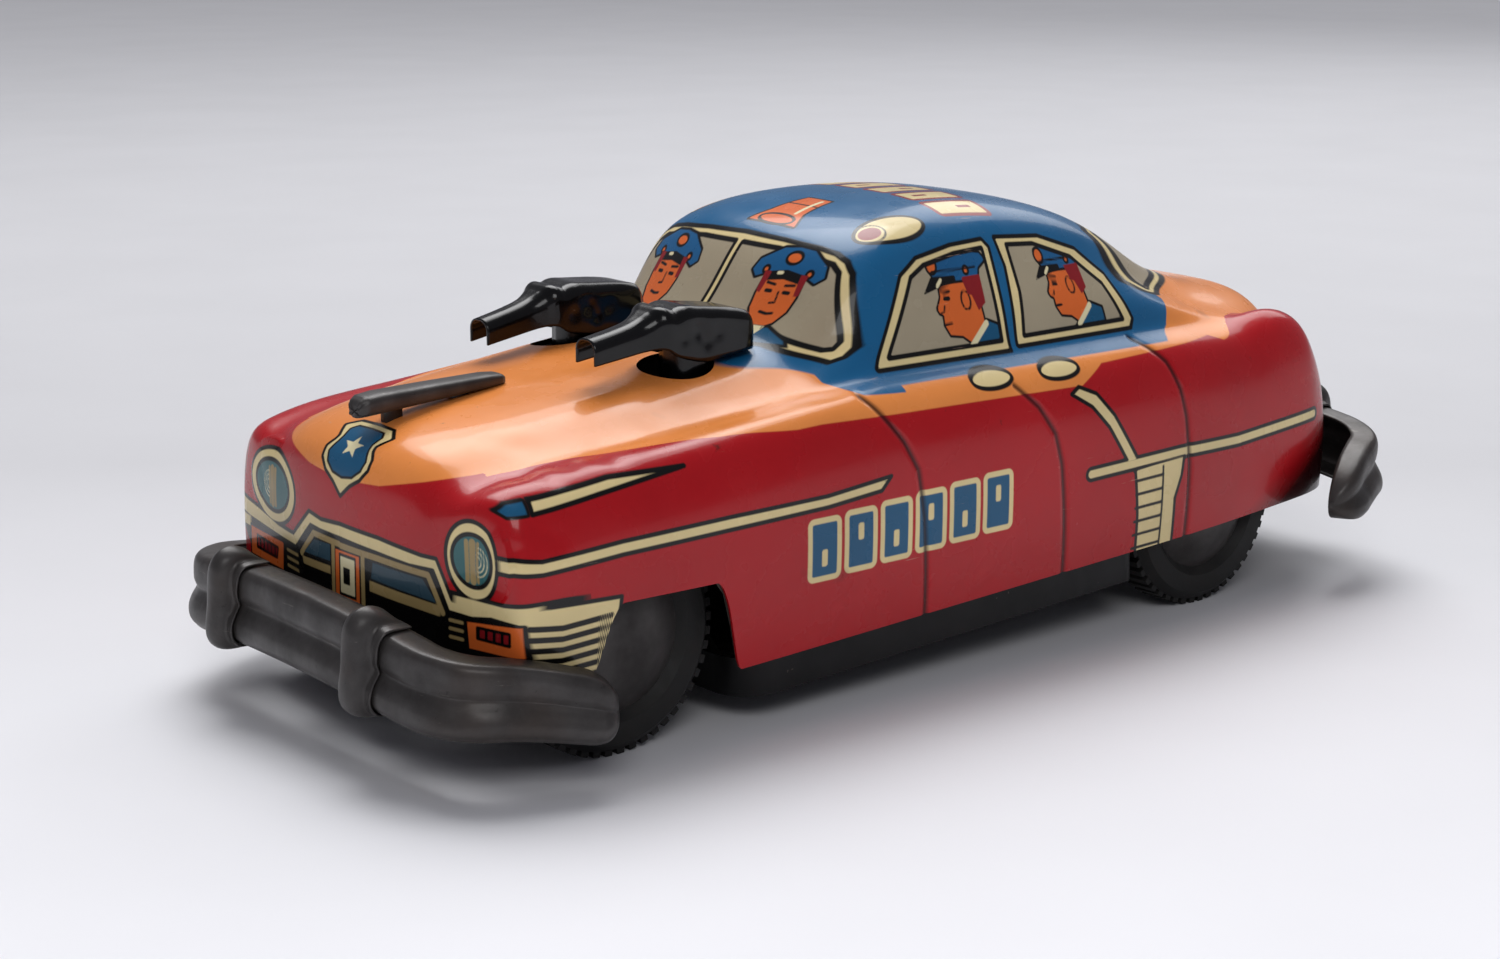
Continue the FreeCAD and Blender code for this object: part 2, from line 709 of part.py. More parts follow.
def thin_arbor(place, middle):
    """Arbor of a train wheel, with a collar at each plate and the given middle span."""
    shoulder = plate_inner - side_play
    spans = [(-shoulder, collar_length - shoulder), middle, (shoulder - collar_length, shoulder)]
    return arbor(place, small_arbor, small_arbor + collar_rise, spans)


def train():
    """Every toothed wheel by name, each tooth row turned so that it meshes with its neighbour."""
    second, flick = second_place(), flick_place()
    axle_place = (rear_axle_x, wheel_radius)
    pinion_low = great_layer - (pinion_width - wheel_sheet) / 2
    great_bore = spring_arbor_radius + running
    great = gear(great_teeth, 0, spring_arbor, great_layer, wheel_sheet, great_bore)
    great = great.cut(rod(click_pin_radius, click_pivot(), great_layer - 1, great_layer + 2))
    second_phase = mesh_phase(great_teeth, 0, spring_arbor, pinion_teeth, second)
    flick_phase = mesh_phase(great_teeth, 0, spring_arbor, flick_pinion_teeth, flick)
    axle_phase = mesh_phase(second_teeth, 0, second, axle_teeth, axle_place)
    axle_low = second_layer - (pinion_width - wheel_sheet) / 2
    return {
        "great_wheel": great,
        "second_pinion": gear(pinion_teeth, second_phase, second, pinion_low, pinion_width, small_arbor),
        "second_wheel": gear(second_teeth, 0, second, second_layer, wheel_sheet, small_arbor),
        "axle_pinion": gear(axle_teeth, axle_phase, axle_place, axle_low, pinion_width, axle_radius),
        "flick_pinion": gear(flick_pinion_teeth, flick_phase, flick, pinion_low, pinion_width, small_arbor)}


def ratchet():
    """Ratchet wheel with sloping teeth, fixed on the winding arbor."""
    loop = []
    step = 360 / ratchet_teeth
    for i in range(ratchet_teeth):
        loop.append(polar(spring_arbor, ratchet_radius, i * step))
        loop.append(polar(spring_arbor, ratchet_radius - ratchet_tooth, i * step + 2))
    wheel = sharp_plate(loop, ratchet_layer, ratchet_layer + wheel_sheet)
    return wheel.cut(rod(spring_arbor_radius, spring_arbor, -1, 3))


def click_pivot():
    return polar(spring_arbor, click_pivot_radius, click_angle)


def click():
    """Pawl on the great wheel; its nose stands just clear of the ratchet's tips."""
    pivot = click_pivot()
    nose = polar(spring_arbor, ratchet_radius + click_clear, click_angle - click_sweep)
    line = direction(pivot, nose)
    length = math.hypot(nose[0] - pivot[0], nose[1] - pivot[1])
    corners = [polar(pivot, click_half_width, line - 90), polar(pivot, click_half_width, line + 90)]
    back = polar(nose, click_nose_width, line + 100)
    arm = sharp_plate([corners[0], nose, back, corners[1]], ratchet_layer, ratchet_layer + wheel_sheet)
    eye = rod(click_eye, pivot, ratchet_layer, ratchet_layer + wheel_sheet)
    hole = rod(click_pin_radius + running, pivot, ratchet_layer - 1, ratchet_layer + wheel_sheet + 1)
    return arm.fuse(eye).cut(hole)


def click_pin():
    """Shouldered pin riveted in the great wheel."""
    pivot = click_pivot()
    top = ratchet_layer + wheel_sheet + side_play
    head = rod(click_pin_head, pivot, top, top + arbor_end)
    return rod(click_pin_radius, pivot, great_layer - side_play, top).fuse(head)


def click_spring():
    """Bent wire strip that presses the click onto its ratchet."""
    foot = polar(spring_arbor, click_spring_foot, click_angle - 52)
    nose = polar(spring_arbor, ratchet_radius + click_clear + 2.4, click_angle - 30)
    line = direction(foot, nose)
    points = [polar(end, click_spring_half, line + turn)
              for end, turn in ((foot, -90), (nose, -90), (nose, 90), (foot, 90))]
    top = ratchet_layer + click_spring_width
    stud = rod(click_spring_width, foot, great_layer + wheel_sheet, top)
    return sharp_plate(points, ratchet_layer, top).fuse(stud)


def star_wheel():
    """Pointed wheel that flicks the tail of the gun rocker."""
    place = flick_place()
    loop = []
    for i in range(star_points):
        angle = 90 + 360 / star_points * i
        loop.append(polar(place, star_radius, angle))
        loop.append(polar(place, star_root, angle + 180 / star_points))
    wheel = sharp_plate(loop, flick_layer, flick_layer + star_sheet)
    return wheel.cut(rod(small_arbor, place, flick_layer - through, flick_layer + through))


def winding_key():
    """Pressed key with two pierced wings on a round shank."""
    start = -key_start
    shank = rod(shank_radius, spring_arbor, start - key_socket - 2, start)
    wing = key_width / 4
    middle = start - key_socket - key_length / 2
    z = spring_arbor[1] - key_sheet / 2
    blade = None
    for side in (1, -1):
        centre = Vector(spring_arbor[0] + side * wing, middle, z)
        lobe = Part.makeCylinder(wing, key_sheet, centre)
        lobe = lobe.cut(Part.makeCylinder(wing / 2.4, key_sheet, centre))
        blade = lobe if blade is None else blade.fuse(lobe)
    web = Part.makeBox(key_web, key_length * 0.62, key_sheet,
                       Vector(spring_arbor[0] - key_web / 2, middle - key_length * 0.2, z))
    key = shank.fuse([blade, web])
    return key.cut(rod(key_spigot, spring_arbor, start - key_socket, start + 1)).removeSplitter()


# ---- bumpers
def bar_edges(inset, place, across):
    """Two-lobed section of the bumper: a wire in the plane of the vertical and the given outward way.

    The first half of the edges is the outer line, drawn in by inset.
    """
    lobe = bumper_height / 4
    nose = bumper_depth - lobe
    groove = nose + lobe * math.cos(math.radians(groove_angle))

    def point(n, z):
        return place + across * n + Vector(0, 0, z)

    def profile(draw):
        radius = lobe - draw
        turn = math.acos((groove - draw - nose) / radius)
        low = [point(nose + radius * math.cos(a), radius * math.sin(a) - lobe)
               for a in (-math.pi / 2, (turn - math.pi / 2) / 2, turn)]
        high = [point(nose + radius * math.cos(a), radius * math.sin(a) + lobe)
                for a in (-turn, (math.pi / 2 - turn) / 2, math.pi / 2)]
        return [Part.makeLine(point(0, draw - 2 * lobe), low[0]), Part.Arc(*low).toShape(),
                Part.makeLine(low[2], high[0]), Part.Arc(*high).toShape(),
                Part.makeLine(high[2], point(0, 2 * lobe - draw))]
    outer, inner = profile(inset), profile(inset + tin)
    return outer + inner + [Part.makeLine(point(0, inset - 2 * lobe), point(0, inset + tin - 2 * lobe)),
                            Part.makeLine(point(0, 2 * lobe - inset), point(0, 2 * lobe - inset - tin))]


def bar_path():
    """Left half of the bumper's path: point on the rear edge line, and the outward way there."""
    path = []
    for share in (0, 0.5, 1):
        y = bumper_half * share
        path.append((Vector(bumper_plane - bumper_bow * share ** 2, y, bumper_middle), Vector(1, 0, 0)))
    corner = path[-1][0]
    sweep = 90 - wing_angle
    for share in (0.33, 0.67, 1):
        turn = math.radians(sweep * share)
        path.append((corner + Vector(bumper_bend * (math.cos(turn) - 1), bumper_bend * math.sin(turn), 0),
                     Vector(math.cos(turn), math.sin(turn), 0)))
    last, outward = path[-1]
    back = Vector(-outward.y, outward.x, 0)
    for share in (0.5, 1):
        drop = Vector(0, 0, -wing_droop * share ** 1.3)
        path.append((last + back * (bumper_wing * share) + drop, outward))
    return path


def bumper():
    """Bumper bar with hollow back, its wing tips rounded off."""
    half = bar_path()
    whole = [(Vector(p.x, -p.y, p.z), Vector(n.x, -n.y, 0)) for p, n in reversed(half[1:])] + half
    wires = [Part.Wire(Part.sortEdges(bar_edges(0, place, way))[0]) for place, way in whole]
    bar = Part.makeLoft(wires, True, True)
    tip = half[-1][0]
    back = 12.0
    fall = wing_droop * 1.3 * back / bumper_wing * math.cos(math.radians(wing_angle))
    low, high = tip.z - bumper_height / 2, tip.z + bumper_height / 2
    near = tip.x + back
    points = [(tip.x, high), (tip.x, low), (near, low + fall), (near, -30), (near + 60, -30),
              (near + 60, 90), (near, 90), (near, high + fall)]
    keep = plate(points, [wing_tip_corner, wing_tip_corner, 1, 1, 1, 1, 1, 1], -90, 90)
    return bar.common(keep)


def overrider(side, bar):
    """Guard with a sleeve that hugs the bar and an upright bead in front."""
    y = side * overrider_y
    share = overrider_y / bumper_half
    edge = bumper_plane - bumper_bow * share ** 2
    start = Vector(edge, y - overrider_width / 2, bumper_middle)
    wire = Part.Wire(Part.sortEdges(bar_edges(-tin, start, Vector(1, 0, 0)))[0])
    sleeve = Part.Face(wire).extrude(Vector(0, overrider_width, 0))
    front = edge + bumper_depth + tin
    middle = overrider_bottom + overrider_height / 2

    def bead(inset):
        radius = overrider_bead - inset
        post = Part.makeCylinder(radius, overrider_height, Vector(front - 0.4, y, overrider_bottom))
        low, high = overrider_bottom + inset, overrider_bottom + overrider_height - inset
        points = [(front - 5, low), (front + radius - 0.2, low + 0.4), (front + radius, middle),
                  (front + radius - 0.2, high - 0.4), (front - 5, high)]
        return post.common(plate(points, [0.2, 1.6, 20, 1.6, 0.2], y - 3, y + 3))
    behind = Part.makeBox(overrider_bead + 3, 2 * overrider_bead + 2, 2 * through,
                          Vector(front - tin - 3 - overrider_bead, y - overrider_bead - 1, 0))
    guard = bead(0).cut(bead(tin)).cut(behind).fuse(sleeve).cut(bar)
    return max(guard.Solids, key=lambda solid: solid.Volume)


def strip(points, sheet):
    """Bent strip's side outline: the line through the points, thickened upwards by sheet."""
    upper = []
    for i, point in enumerate(points):
        ahead = points[min(i + 1, len(points) - 1)]
        behind = points[max(i - 1, 0)]
        first = math.radians(direction(behind, point) if i else direction(point, ahead))
        second = math.radians(direction(point, ahead) if i < len(points) - 1 else direction(behind, point))
        middle = (first + second) / 2
        reach = sheet / math.cos((second - first) / 2)
        upper.append((point[0] - reach * math.sin(middle), point[1] + reach * math.cos(middle)))
    return points + upper[::-1]


def bumper_arm(points):
    """Pair of strips that carry a bumper, from the side line of their underside."""
    arm = sharp_plate(strip(points, arm_sheet), arm_y - arm_width / 2, arm_y + arm_width / 2)
    return both_sides(arm)


def arm_reach():
    """X of the bar's inner groove face, where an arm ends."""
    lobe = bumper_height / 4
    groove = bumper_depth - lobe + lobe * math.cos(math.radians(groove_angle))
    return bumper_plane - bumper_bow * ((arm_y + arm_width / 2) / bumper_half) ** 2 + groove - tin - 0.05


def front_arm_line():
    low = strap_height + arm_sheet
    height = bumper_middle - arm_sheet / 2
    return [(strap_front - 12, low), (strap_front, low), (strap_front + 7, height), (arm_reach(), height)]


def rear_bar_point(outward, up):
    """Side place of a point of the rear bar, from its distances outward and up from the bar's middle."""
    turn = math.radians(rear_bar_tilt)
    reach = bumper_plane - rear_bar_shift + outward * math.cos(turn) - up * math.sin(turn)
    return -reach, bumper_middle + rear_bar_rise + outward * math.sin(turn) + up * math.cos(turn)


def rear_arm_line():
    end = rear_bar_point(arm_reach() - bumper_plane, -arm_sheet / 2)
    bend = rear_bar_point(-1.0, -arm_sheet / 2)
    start = tongue_rear + 18
    return [end, bend, (bend[0], floor_top(bend[0])), (start, floor_top(start))]


def at_rear(shape):
    """A front piece's mirror image at the tail, tilted about the bar's middle, closer in and higher."""
    shape = shape.copy()
    shape.rotate(Vector(bumper_plane, 0, bumper_middle), Vector(0, 1, 0), -rear_bar_tilt)
    shape.translate(Vector(-rear_bar_shift, 0, rear_bar_rise))
    return shape.mirror(Vector(0, 0, 0), Vector(1, 0, 0))


# ---- front axle bracket
def front_axle_bracket():
    """Strip on the tray floor that steps over the tray's front rim and carries the axle in two ears."""
    step = base_front - 4
    high = strap_height
    line = [(strap_rear, floor_top(strap_rear)), (step - 4, floor_top(step - 4)), (step, high),
            (strap_front, high)]
    floor = sharp_plate(strip(line, arm_sheet), -strap_half_width, strap_half_width)
    ears = [(ear_rear, high), (strap_front - 4, high), (front_axle_x + 3.2, ear_top),
            (front_axle_x - 3.2, ear_top)]
    outer = plate(ears, [1, 1, 3, 3], -strap_half_width, strap_half_width)
    inner = Part.makeBox(60, 2 * (strap_half_width - arm_sheet), 40,
                         Vector(ear_rear - 10, arm_sheet - strap_half_width, high - 1))
    hole = rod(axle_radius + running, (front_axle_x, wheel_radius), -2 * through, 2 * through)
    return drilled(floor.fuse(outer.cut(inner)).cut(hole))


# ---- guns and their rocker
def pressed_section(x, half_width, bottom, top, corner):
    """Closed wire across X: flat below, rounded above."""
    bend = corner * (1 - math.cos(math.radians(45)))
    low_right, low_left = Vector(x, -half_width, bottom), Vector(x, half_width, bottom)
    right, left = Vector(x, -half_width, top - corner), Vector(x, half_width, top - corner)
    top_right, top_left = Vector(x, corner - half_width, top), Vector(x, half_width - corner, top)
    right_bend = Vector(x, bend - half_width, top - bend)
    left_bend = Vector(x, half_width - bend, top - bend)
    return Part.Wire([Part.makeLine(low_right, right), Part.Arc(right, right_bend, top_right).toShape(),
                      Part.makeLine(top_right, top_left), Part.Arc(top_left, left_bend, left).toShape(),
                      Part.makeLine(left, low_left), Part.makeLine(low_left, low_right)])


def gun_stations():
    """X, half width, underside, top and corner radius of the gun, from muzzle to breech."""
    slim, wide = barrel_width / 2, breech_width / 2
    top = gun_bottom + barrel_height
    rear_top = breech_top - gun_fall
    flare = breech_front + 5
    return [(gun_reach, slim, gun_bottom, top, 1.7),
            (flare + 3, slim + 0.1, gun_bottom - 0.1, top + 0.5, 1.7),
            (flare, slim + 0.5, gun_bottom - 0.2, top + 1.2, 1.9),
            (breech_front + 2, wide - 0.8, gun_bottom - 0.4, breech_top - 0.7, 2.2),
            (breech_front - 1, wide, breech_bottom, breech_top, 2.2),
            (stem_x, wide, breech_bottom + 0.4, breech_top - 0.5, 1.8),
            (gun_rear + 1.5, wide - 0.1, breech_bottom + breech_rise, rear_top + 0.3, 1.6),
            (gun_rear, wide - 0.9, breech_bottom + breech_rise, rear_top - 0.8, 1.4)]


def gun_body(inset):
    wires = []
    stations = gun_stations()
    for i, (x, half_width, bottom, top, corner) in enumerate(stations):
        shift = inset if i == len(stations) - 1 else (-1.0 if inset and i == 0 else 0)
        drop = 1.0 if inset else 0
        wires.append(pressed_section(x + shift, half_width - inset, bottom - drop, top - inset,
                                     corner - inset / 2))
    return Part.makeLoft(wires, True, True)


def gun(side):
    """Pressed gun, open below and at the muzzle, with a stem that goes down to the rocker."""
    outer = gun_body(0)
    muzzle = Part.makeBox(3, barrel_width - 2 * tin, barrel_height + 1.5,
                          Vector(gun_reach - 1.5, tin - barrel_width / 2, gun_bottom - 2.6))
    shell = outer.cut(gun_body(tin)).cut(muzzle)
    stem = Part.makeBox(stem_length_x, stem_width, breech_top - 1.0 - stem_bottom,
                        Vector(stem_x - stem_length_x / 2, -stem_width / 2, stem_bottom))
    core = Part.makeBox(stem_length_x, stem_width - 2 * rocker_sheet, 3 * through,
                        Vector(stem_x - stem_length_x / 2 + rocker_sheet, rocker_sheet - stem_width / 2,
                               stem_bottom - 1))
    shape = shell.fuse(stem.cut(core).common(outer.fuse(
        Part.makeBox(through, through, breech_bottom + 1, Vector(stem_x - through / 2, -through / 2, 0)))))
    shape.translate(Vector(0, side * gun_y, 0))
    return shape


def gun_rocker():
    """Sheet rocker: two ears on the pin, a web across, an upright to each gun and a tail to the star."""
    place = (rocker_x, rocker_z)
    ear_y = bracket_half_width + side_play + rocker_sheet
    ear = plate([(rocker_x - 4, rocker_z - 4), (rocker_x + 4, rocker_z - 4), (rocker_x + 4, web_height),
                 (rocker_x - 4, web_height)], [3.5, 3.5, 0.4, 0.4], ear_y - rocker_sheet, ear_y)
    ear = ear.cut(rod(rocker_pin + running, place, -through, through))
    stem_side = gun_y - stem_width / 2 - 0.05
    web = Part.makeBox(8, 2 * stem_side, rocker_sheet, Vector(rocker_x - 4, -stem_side, web_height))
    upright = Part.makeBox(stem_length_x, rocker_sheet, 10, Vector(stem_x - stem_length_x / 2,
                           stem_side - rocker_sheet, web_height))
    star = flick_place()
    tail_y = flick_layer + star_sheet / 2
    tail_low = star[1] + star_radius + rocker_lift_clear
    tail_end = star[0] - 1.5
    tail = Part.makeBox(rocker_x - 4 + rocker_sheet - tail_end, tail_width, rocker_sheet,
                        Vector(tail_end, tail_y - tail_width / 2, tail_low))
    riser = Part.makeBox(rocker_sheet, tail_width, tail_low + rocker_sheet - web_height,
                         Vector(rocker_x - 4, tail_y - tail_width / 2, web_height))
    toe = Part.makeBox(toe_length, 6, rocker_sheet, Vector(rocker_x + 3.5, -3, web_height))
    return both_sides(ear).fuse([web, tail, riser, toe, upright,
                                 upright.mirror(Vector(0, 0, 0), Vector(0, 1, 0))])


def rocker_bracket():
    """Bent U on the axle strap with two ears for the rocker's pin."""
    base = strap_top(rocker_x)
    rear = rocker_x - 9.5
    points = [(rear, strap_top(rear)), (rocker_x, base), (rocker_x + ear_round, rocker_z - 4),
              (rocker_x + ear_round, rocker_z + ear_round), (rocker_x - ear_round, rocker_z + ear_round)]
    outer = plate(points, [0.4, 0.4, 3, 3, 3], -bracket_half_width, bracket_half_width)
    back, ahead = rear - 5, rocker_x + 8
    line = [(back, strap_top(back) + rocker_sheet), (ahead, strap_top(ahead) + rocker_sheet),
            (ahead, 60), (back, 60)]
    inner = sharp_plate(line, rocker_sheet - bracket_half_width, bracket_half_width - rocker_sheet)
    return drilled(outer.cut(inner).cut(rod(rocker_pin, (rocker_x, rocker_z), -through, through)))


def strap_top(x):
    """Height of the axle strap's upper face where it lies on the tray floor."""
    return floor_top(x) + arm_sheet / math.cos(math.radians(base_slope)) + 0.01


def rocker_pin_piece():
    place = (rocker_x, rocker_z)
    end = bracket_half_width + 2 * side_play + rocker_sheet
    pin = rod(rocker_pin, place, -end - 0.8, end + 0.8)
    return pin.fuse([rod(rocker_pin + 0.9, place, end, end + 0.8),
                     rod(rocker_pin + 0.9, place, -end - 0.8, -end)])


def rocker_spring():
    """Leaf spring from the strap up to the rocker's toe, which it keeps up."""
    foot = strap_height + arm_sheet + 0.02
    top = web_height - leaf_sheet - 0.05
    x = rocker_x + toe_length
    points = [(x - 1, foot), (x + 8, foot), (x + 10, foot + 1), (x + 10.6, foot + 3),
              (x + 2, top - 3), (x, top - 0.6), (x - 2.2, top)]
    return sharp_plate(strip(points, leaf_sheet), -2.5, 2.5)


# ---- bonnet ornament
def ornament_top(share):
    return ornament_rear_top + (ornament_front_top - ornament_rear_top) * share


def bonnet_ornament(skin):
    """Long drop, blunt in front and tapering back, on two feet that stand on the bonnet's skin."""
    length = ornament_front - ornament_rear
    wires = []
    for share, width, drop in ((0, 0.5, 0.8), (0.03, 0.72, 0.35), (0.12, 0.86, 0.1), (0.5, 0.96, 0),
                               (0.85, 1, 0), (0.95, 0.93, 0.25), (0.99, 0.74, 0.9), (1, 0.55, 1.6)):
        top = ornament_top(share)
        low = top - ornament_depth * (0.62 + 0.38 * share)
        half = ornament_half_width * width
        wires.append(pressed_section(ornament_rear + length * share, half, low, top - drop,
                                     min(half, top - drop - low) * 0.8))
    drop_body = Part.makeLoft(wires, True, True)
    feet = []
    for share in (0.3, 0.75):
        x = ornament_rear + length * share
        feet.append(Part.makeBox(3.0, 1.6, 8, Vector(x - 1.5, -0.8, ornament_top(share) - 9)))
    return drop_body.fuse(feet).cut(skin)


if __name__ == "__main__":
    os.makedirs("parts", exist_ok=True)
    write(body_shell(), "body_shell")
    write(base_plate(), "base_plate")
    write(bonnet_ornament(skin_solid(body_net(0, rim_floor))), "bonnet_ornament")
    bar = bumper()
    write(bar, "front_bumper")
    write(at_rear(bar), "rear_bumper")
    for name, side in (("left", 1), ("right", -1)):
        guard = overrider(side, bar)
        write(guard, "front_" + name + "_overrider")
        write(at_rear(guard), "rear_" + name + "_overrider")
        write(gun(side), name + "_gun")
        for end, x in (("front", front_axle_x), ("rear", rear_axle_x)):
            write(placed(tyre(), x, track, wheel_radius, side), end + "_" + name + "_tyre")
            write(placed(hub(), x, track, wheel_radius, side), end + "_" + name + "_hub")
    write(bumper_arm(front_arm_line()), "front_bumper_arms")
    write(bumper_arm(rear_arm_line()), "rear_bumper_arms")
    write(front_axle_bracket(), "front_axle_bracket")
    write(axle(front_axle_x), "front_axle")
    write(axle(rear_axle_x), "rear_axle")
    write(rocker_bracket(), "rocker_bracket")
    write(rocker_pin_piece(), "rocker_pin")
    write(rocker_spring(), "rocker_spring")
    write(gun_rocker(), "gun_rocker")
    for name, side_plate in zip(("left", "right"), both_sides(motor_plate()).Solids):
        write(side_plate, name + "_motor_plate")
    write(Part.makeCompound([pillar(place) for place in pillar_places]), "frame_pillars")
    write(Part.makeCompound([rivet(*place) for place in rivet_places()]), "base_rivets")
    write(mainspring(), "mainspring")
    write(winding_arbor(), "winding_arbor")
    write(ratchet(), "ratchet_wheel")
    write(winding_key(), "winding_key")
    write(click(), "click")
    write(click_pin(), "click_pin")
    write(click_spring(), "click_spring")
    for name, wheel in train().items():
        write(wheel, name)
    pinion_side = great_layer + (pinion_width + wheel_sheet) / 2
    write(thin_arbor(second_place(), (pinion_side, second_layer)), "second_arbor")
    write(thin_arbor(flick_place(), (pinion_side, flick_layer)), "flick_arbor")
    write(star_wheel(), "star_wheel")
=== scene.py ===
import math

import bpy
import numpy as np
from mathutils import Matrix, Vector


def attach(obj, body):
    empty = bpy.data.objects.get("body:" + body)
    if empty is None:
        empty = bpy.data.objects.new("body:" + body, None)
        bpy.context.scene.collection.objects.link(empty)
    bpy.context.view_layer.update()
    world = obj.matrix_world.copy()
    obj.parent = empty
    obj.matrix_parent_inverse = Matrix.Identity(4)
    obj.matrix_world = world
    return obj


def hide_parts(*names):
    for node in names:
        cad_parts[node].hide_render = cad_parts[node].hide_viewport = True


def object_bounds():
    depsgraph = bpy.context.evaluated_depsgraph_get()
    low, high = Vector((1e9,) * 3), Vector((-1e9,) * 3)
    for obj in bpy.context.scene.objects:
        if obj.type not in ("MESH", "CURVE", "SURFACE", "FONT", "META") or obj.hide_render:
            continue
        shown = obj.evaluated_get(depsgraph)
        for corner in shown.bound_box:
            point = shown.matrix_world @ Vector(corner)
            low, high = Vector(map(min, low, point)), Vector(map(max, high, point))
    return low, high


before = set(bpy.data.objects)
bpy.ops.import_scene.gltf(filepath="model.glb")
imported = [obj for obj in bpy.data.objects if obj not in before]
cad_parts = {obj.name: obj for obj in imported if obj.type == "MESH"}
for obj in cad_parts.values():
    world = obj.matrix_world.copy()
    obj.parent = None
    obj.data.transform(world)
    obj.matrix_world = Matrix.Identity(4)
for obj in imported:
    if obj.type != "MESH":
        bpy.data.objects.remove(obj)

# Clockwork tin patrol car. Sizes are in millimetres with heights from the ground until a piece
# is made; makePiece turns them into the frame's metres.
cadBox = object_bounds()
print("frame loaded:", len(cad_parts), "nodes")

millimetre = 0.001
groundDrop = -cadBox[0][2] / millimetre     # the frame's origin lies this far above the ground
tin = 0.45                                  # thickness of the pressed sheets
farAway = 9.0                               # distance given to points that a shape isn't near


def linearColour(code):
    # sRGB to linear light: c / 12.92 for dark values, otherwise ((c + 0.055) / 1.055) ^ 2.4
    parts = np.array([int(code[i:i + 2], 16) for i in (1, 3, 5)]) / 255
    parts = np.where(parts <= 0.04045, parts / 12.92, ((parts + 0.055) / 1.055) ** 2.4)
    return (*parts.tolist(), 1.0)


def addNode(tree, kind, settings=None, links=None):
    # settings hold input values or the node's own choices, links hold what feeds each input
    node = tree.nodes.new(kind)
    for name, value in (settings or {}).items():
        if isinstance(name, int) or name in node.inputs:
            node.inputs[name].default_value = value
        else:
            setattr(node, name, value)
    for name, source in (links or {}).items():
        tree.links.new(source, node.inputs[name])
    return node


def startMaterial(name, surface):
    # An empty material with one Principled shader; surface holds that shader's own settings
    material = bpy.data.materials.new(name)
    material.use_nodes = True
    tree = material.node_tree
    tree.nodes.clear()
    shader = addNode(tree, "ShaderNodeBsdfPrincipled", surface)
    addNode(tree, "ShaderNodeOutputMaterial", links={"Surface": shader.outputs["BSDF"]})
    place = addNode(tree, "ShaderNodeTexCoord").outputs["Object"]
    return material, tree, shader, place


def mixColours(tree, share, first, second, mode="MIX"):
    # Blend of two colours; share, first and second are sockets or plain values
    node = addNode(tree, "ShaderNodeMix", {"data_type": "RGBA", "blend_type": mode})
    for index, value in ((0, share), (6, first), (7, second)):
        if hasattr(value, "is_output"):
            tree.links.new(value, node.inputs[index])
        else:
            node.inputs[index].default_value = value
    return node.outputs[2]


def remap(tree, value, low, high, toLow=0.0, toHigh=1.0):
    # Straight-line change of range, held at both ends
    return addNode(tree, "ShaderNodeMapRange",
                   {"From Min": low, "From Max": high, "To Min": toLow, "To Max": toHigh},
                   {"Value": value}).outputs["Result"]


def noise(tree, place, size, detail=2.0, roughness=0.5, stretch=None):
    # Noise whose patches are about size millimetres across, longer along axes with a small stretch
    if stretch is not None:
        place = addNode(tree, "ShaderNodeMapping", {"Scale": stretch}, {"Vector": place}).outputs[0]
    return addNode(tree, "ShaderNodeTexNoise",
                   {"Scale": 1 / (size * millimetre), "Detail": detail, "Roughness": roughness},
                   {"Vector": place}).outputs["Fac"]


def addSpots(tree, place, under, code, size, low, high, share, detail=3, roughness=0.6, stretch=None):
    # Spots of another colour: none where the noise is under low, their full share where it is over high
    mask = remap(tree, noise(tree, place, size, detail, roughness, stretch), low, high, 0.0, share)
    return mixColours(tree, mask, under, linearColour(code))


def addBump(tree, shader, height, depth, strength=1.0, below=None):
    # Relief of the given depth in millimetres, on top of the relief below
    links = {"Height": height}
    if below is not None:
        links["Normal"] = below
    bump = addNode(tree, "ShaderNodeBump", {"Strength": strength, "Distance": depth * millimetre}, links)
    tree.links.new(bump.outputs[0], shader.inputs["Normal"])
    return bump.outputs[0]


def gridFaces(rows, cols, wrapRows=False, wrapCols=False):
    # Quads of a grid of points, the last row or column joined to the first where wrapped
    i, j = np.meshgrid(np.arange(rows if wrapRows else rows - 1),
                       np.arange(cols if wrapCols else cols - 1), indexing="ij")
    ahead, beside = (i + 1) % rows, (j + 1) % cols
    corners = (i * cols + j, ahead * cols + j, ahead * cols + beside, i * cols + beside)
    return np.stack([c.ravel() for c in corners], 1)


def gridNormals(grid, wrapRows=False, wrapCols=False):
    # Unit cross product of the steps along the rows and along the columns
    def step(axis, wrap):
        if wrap:
            return np.roll(grid, -1, axis) - np.roll(grid, 1, axis)
        return np.gradient(grid, axis=axis)
    normals = np.cross(step(0, wrapRows), step(1, wrapCols))
    return normals / np.maximum(np.linalg.norm(normals, axis=-1, keepdims=True), 1e-9)


def sheetMesh(outer, thickness, wrapRows=False, wrapCols=False):
    # Closed thin wall: the grid, the same grid moved inwards by the thickness, and a rim between
    rows, cols = outer.shape[:2]
    inner = outer - gridNormals(outer, wrapRows, wrapCols) * thickness
    faces = gridFaces(rows, cols, wrapRows, wrapCols)
    count = rows * cols
    allFaces = [faces, faces[:, ::-1] + count]
    index = np.arange(count).reshape(rows, cols)
    edges = []
    if not wrapRows:
        edges += [index[0, ::-1], index[-1]]
    if not wrapCols:
        edges += [index[:, 0], index[::-1, -1]]
    for edge in edges:
        allFaces.append(np.stack([edge[:-1], edge[:-1] + count, edge[1:] + count, edge[1:]], 1))
    return np.vstack([outer.reshape(-1, 3), inner.reshape(-1, 3)]), np.vstack(allFaces)


def joinMeshes(parts):
    # One list of points and one of faces from several
    points, faces, start = [], [], 0
    for somePoints, someFaces in parts:
        points.append(somePoints)
        faces.append(someFaces + start)
        start += len(somePoints)
    return np.vstack(points), np.vstack(faces)


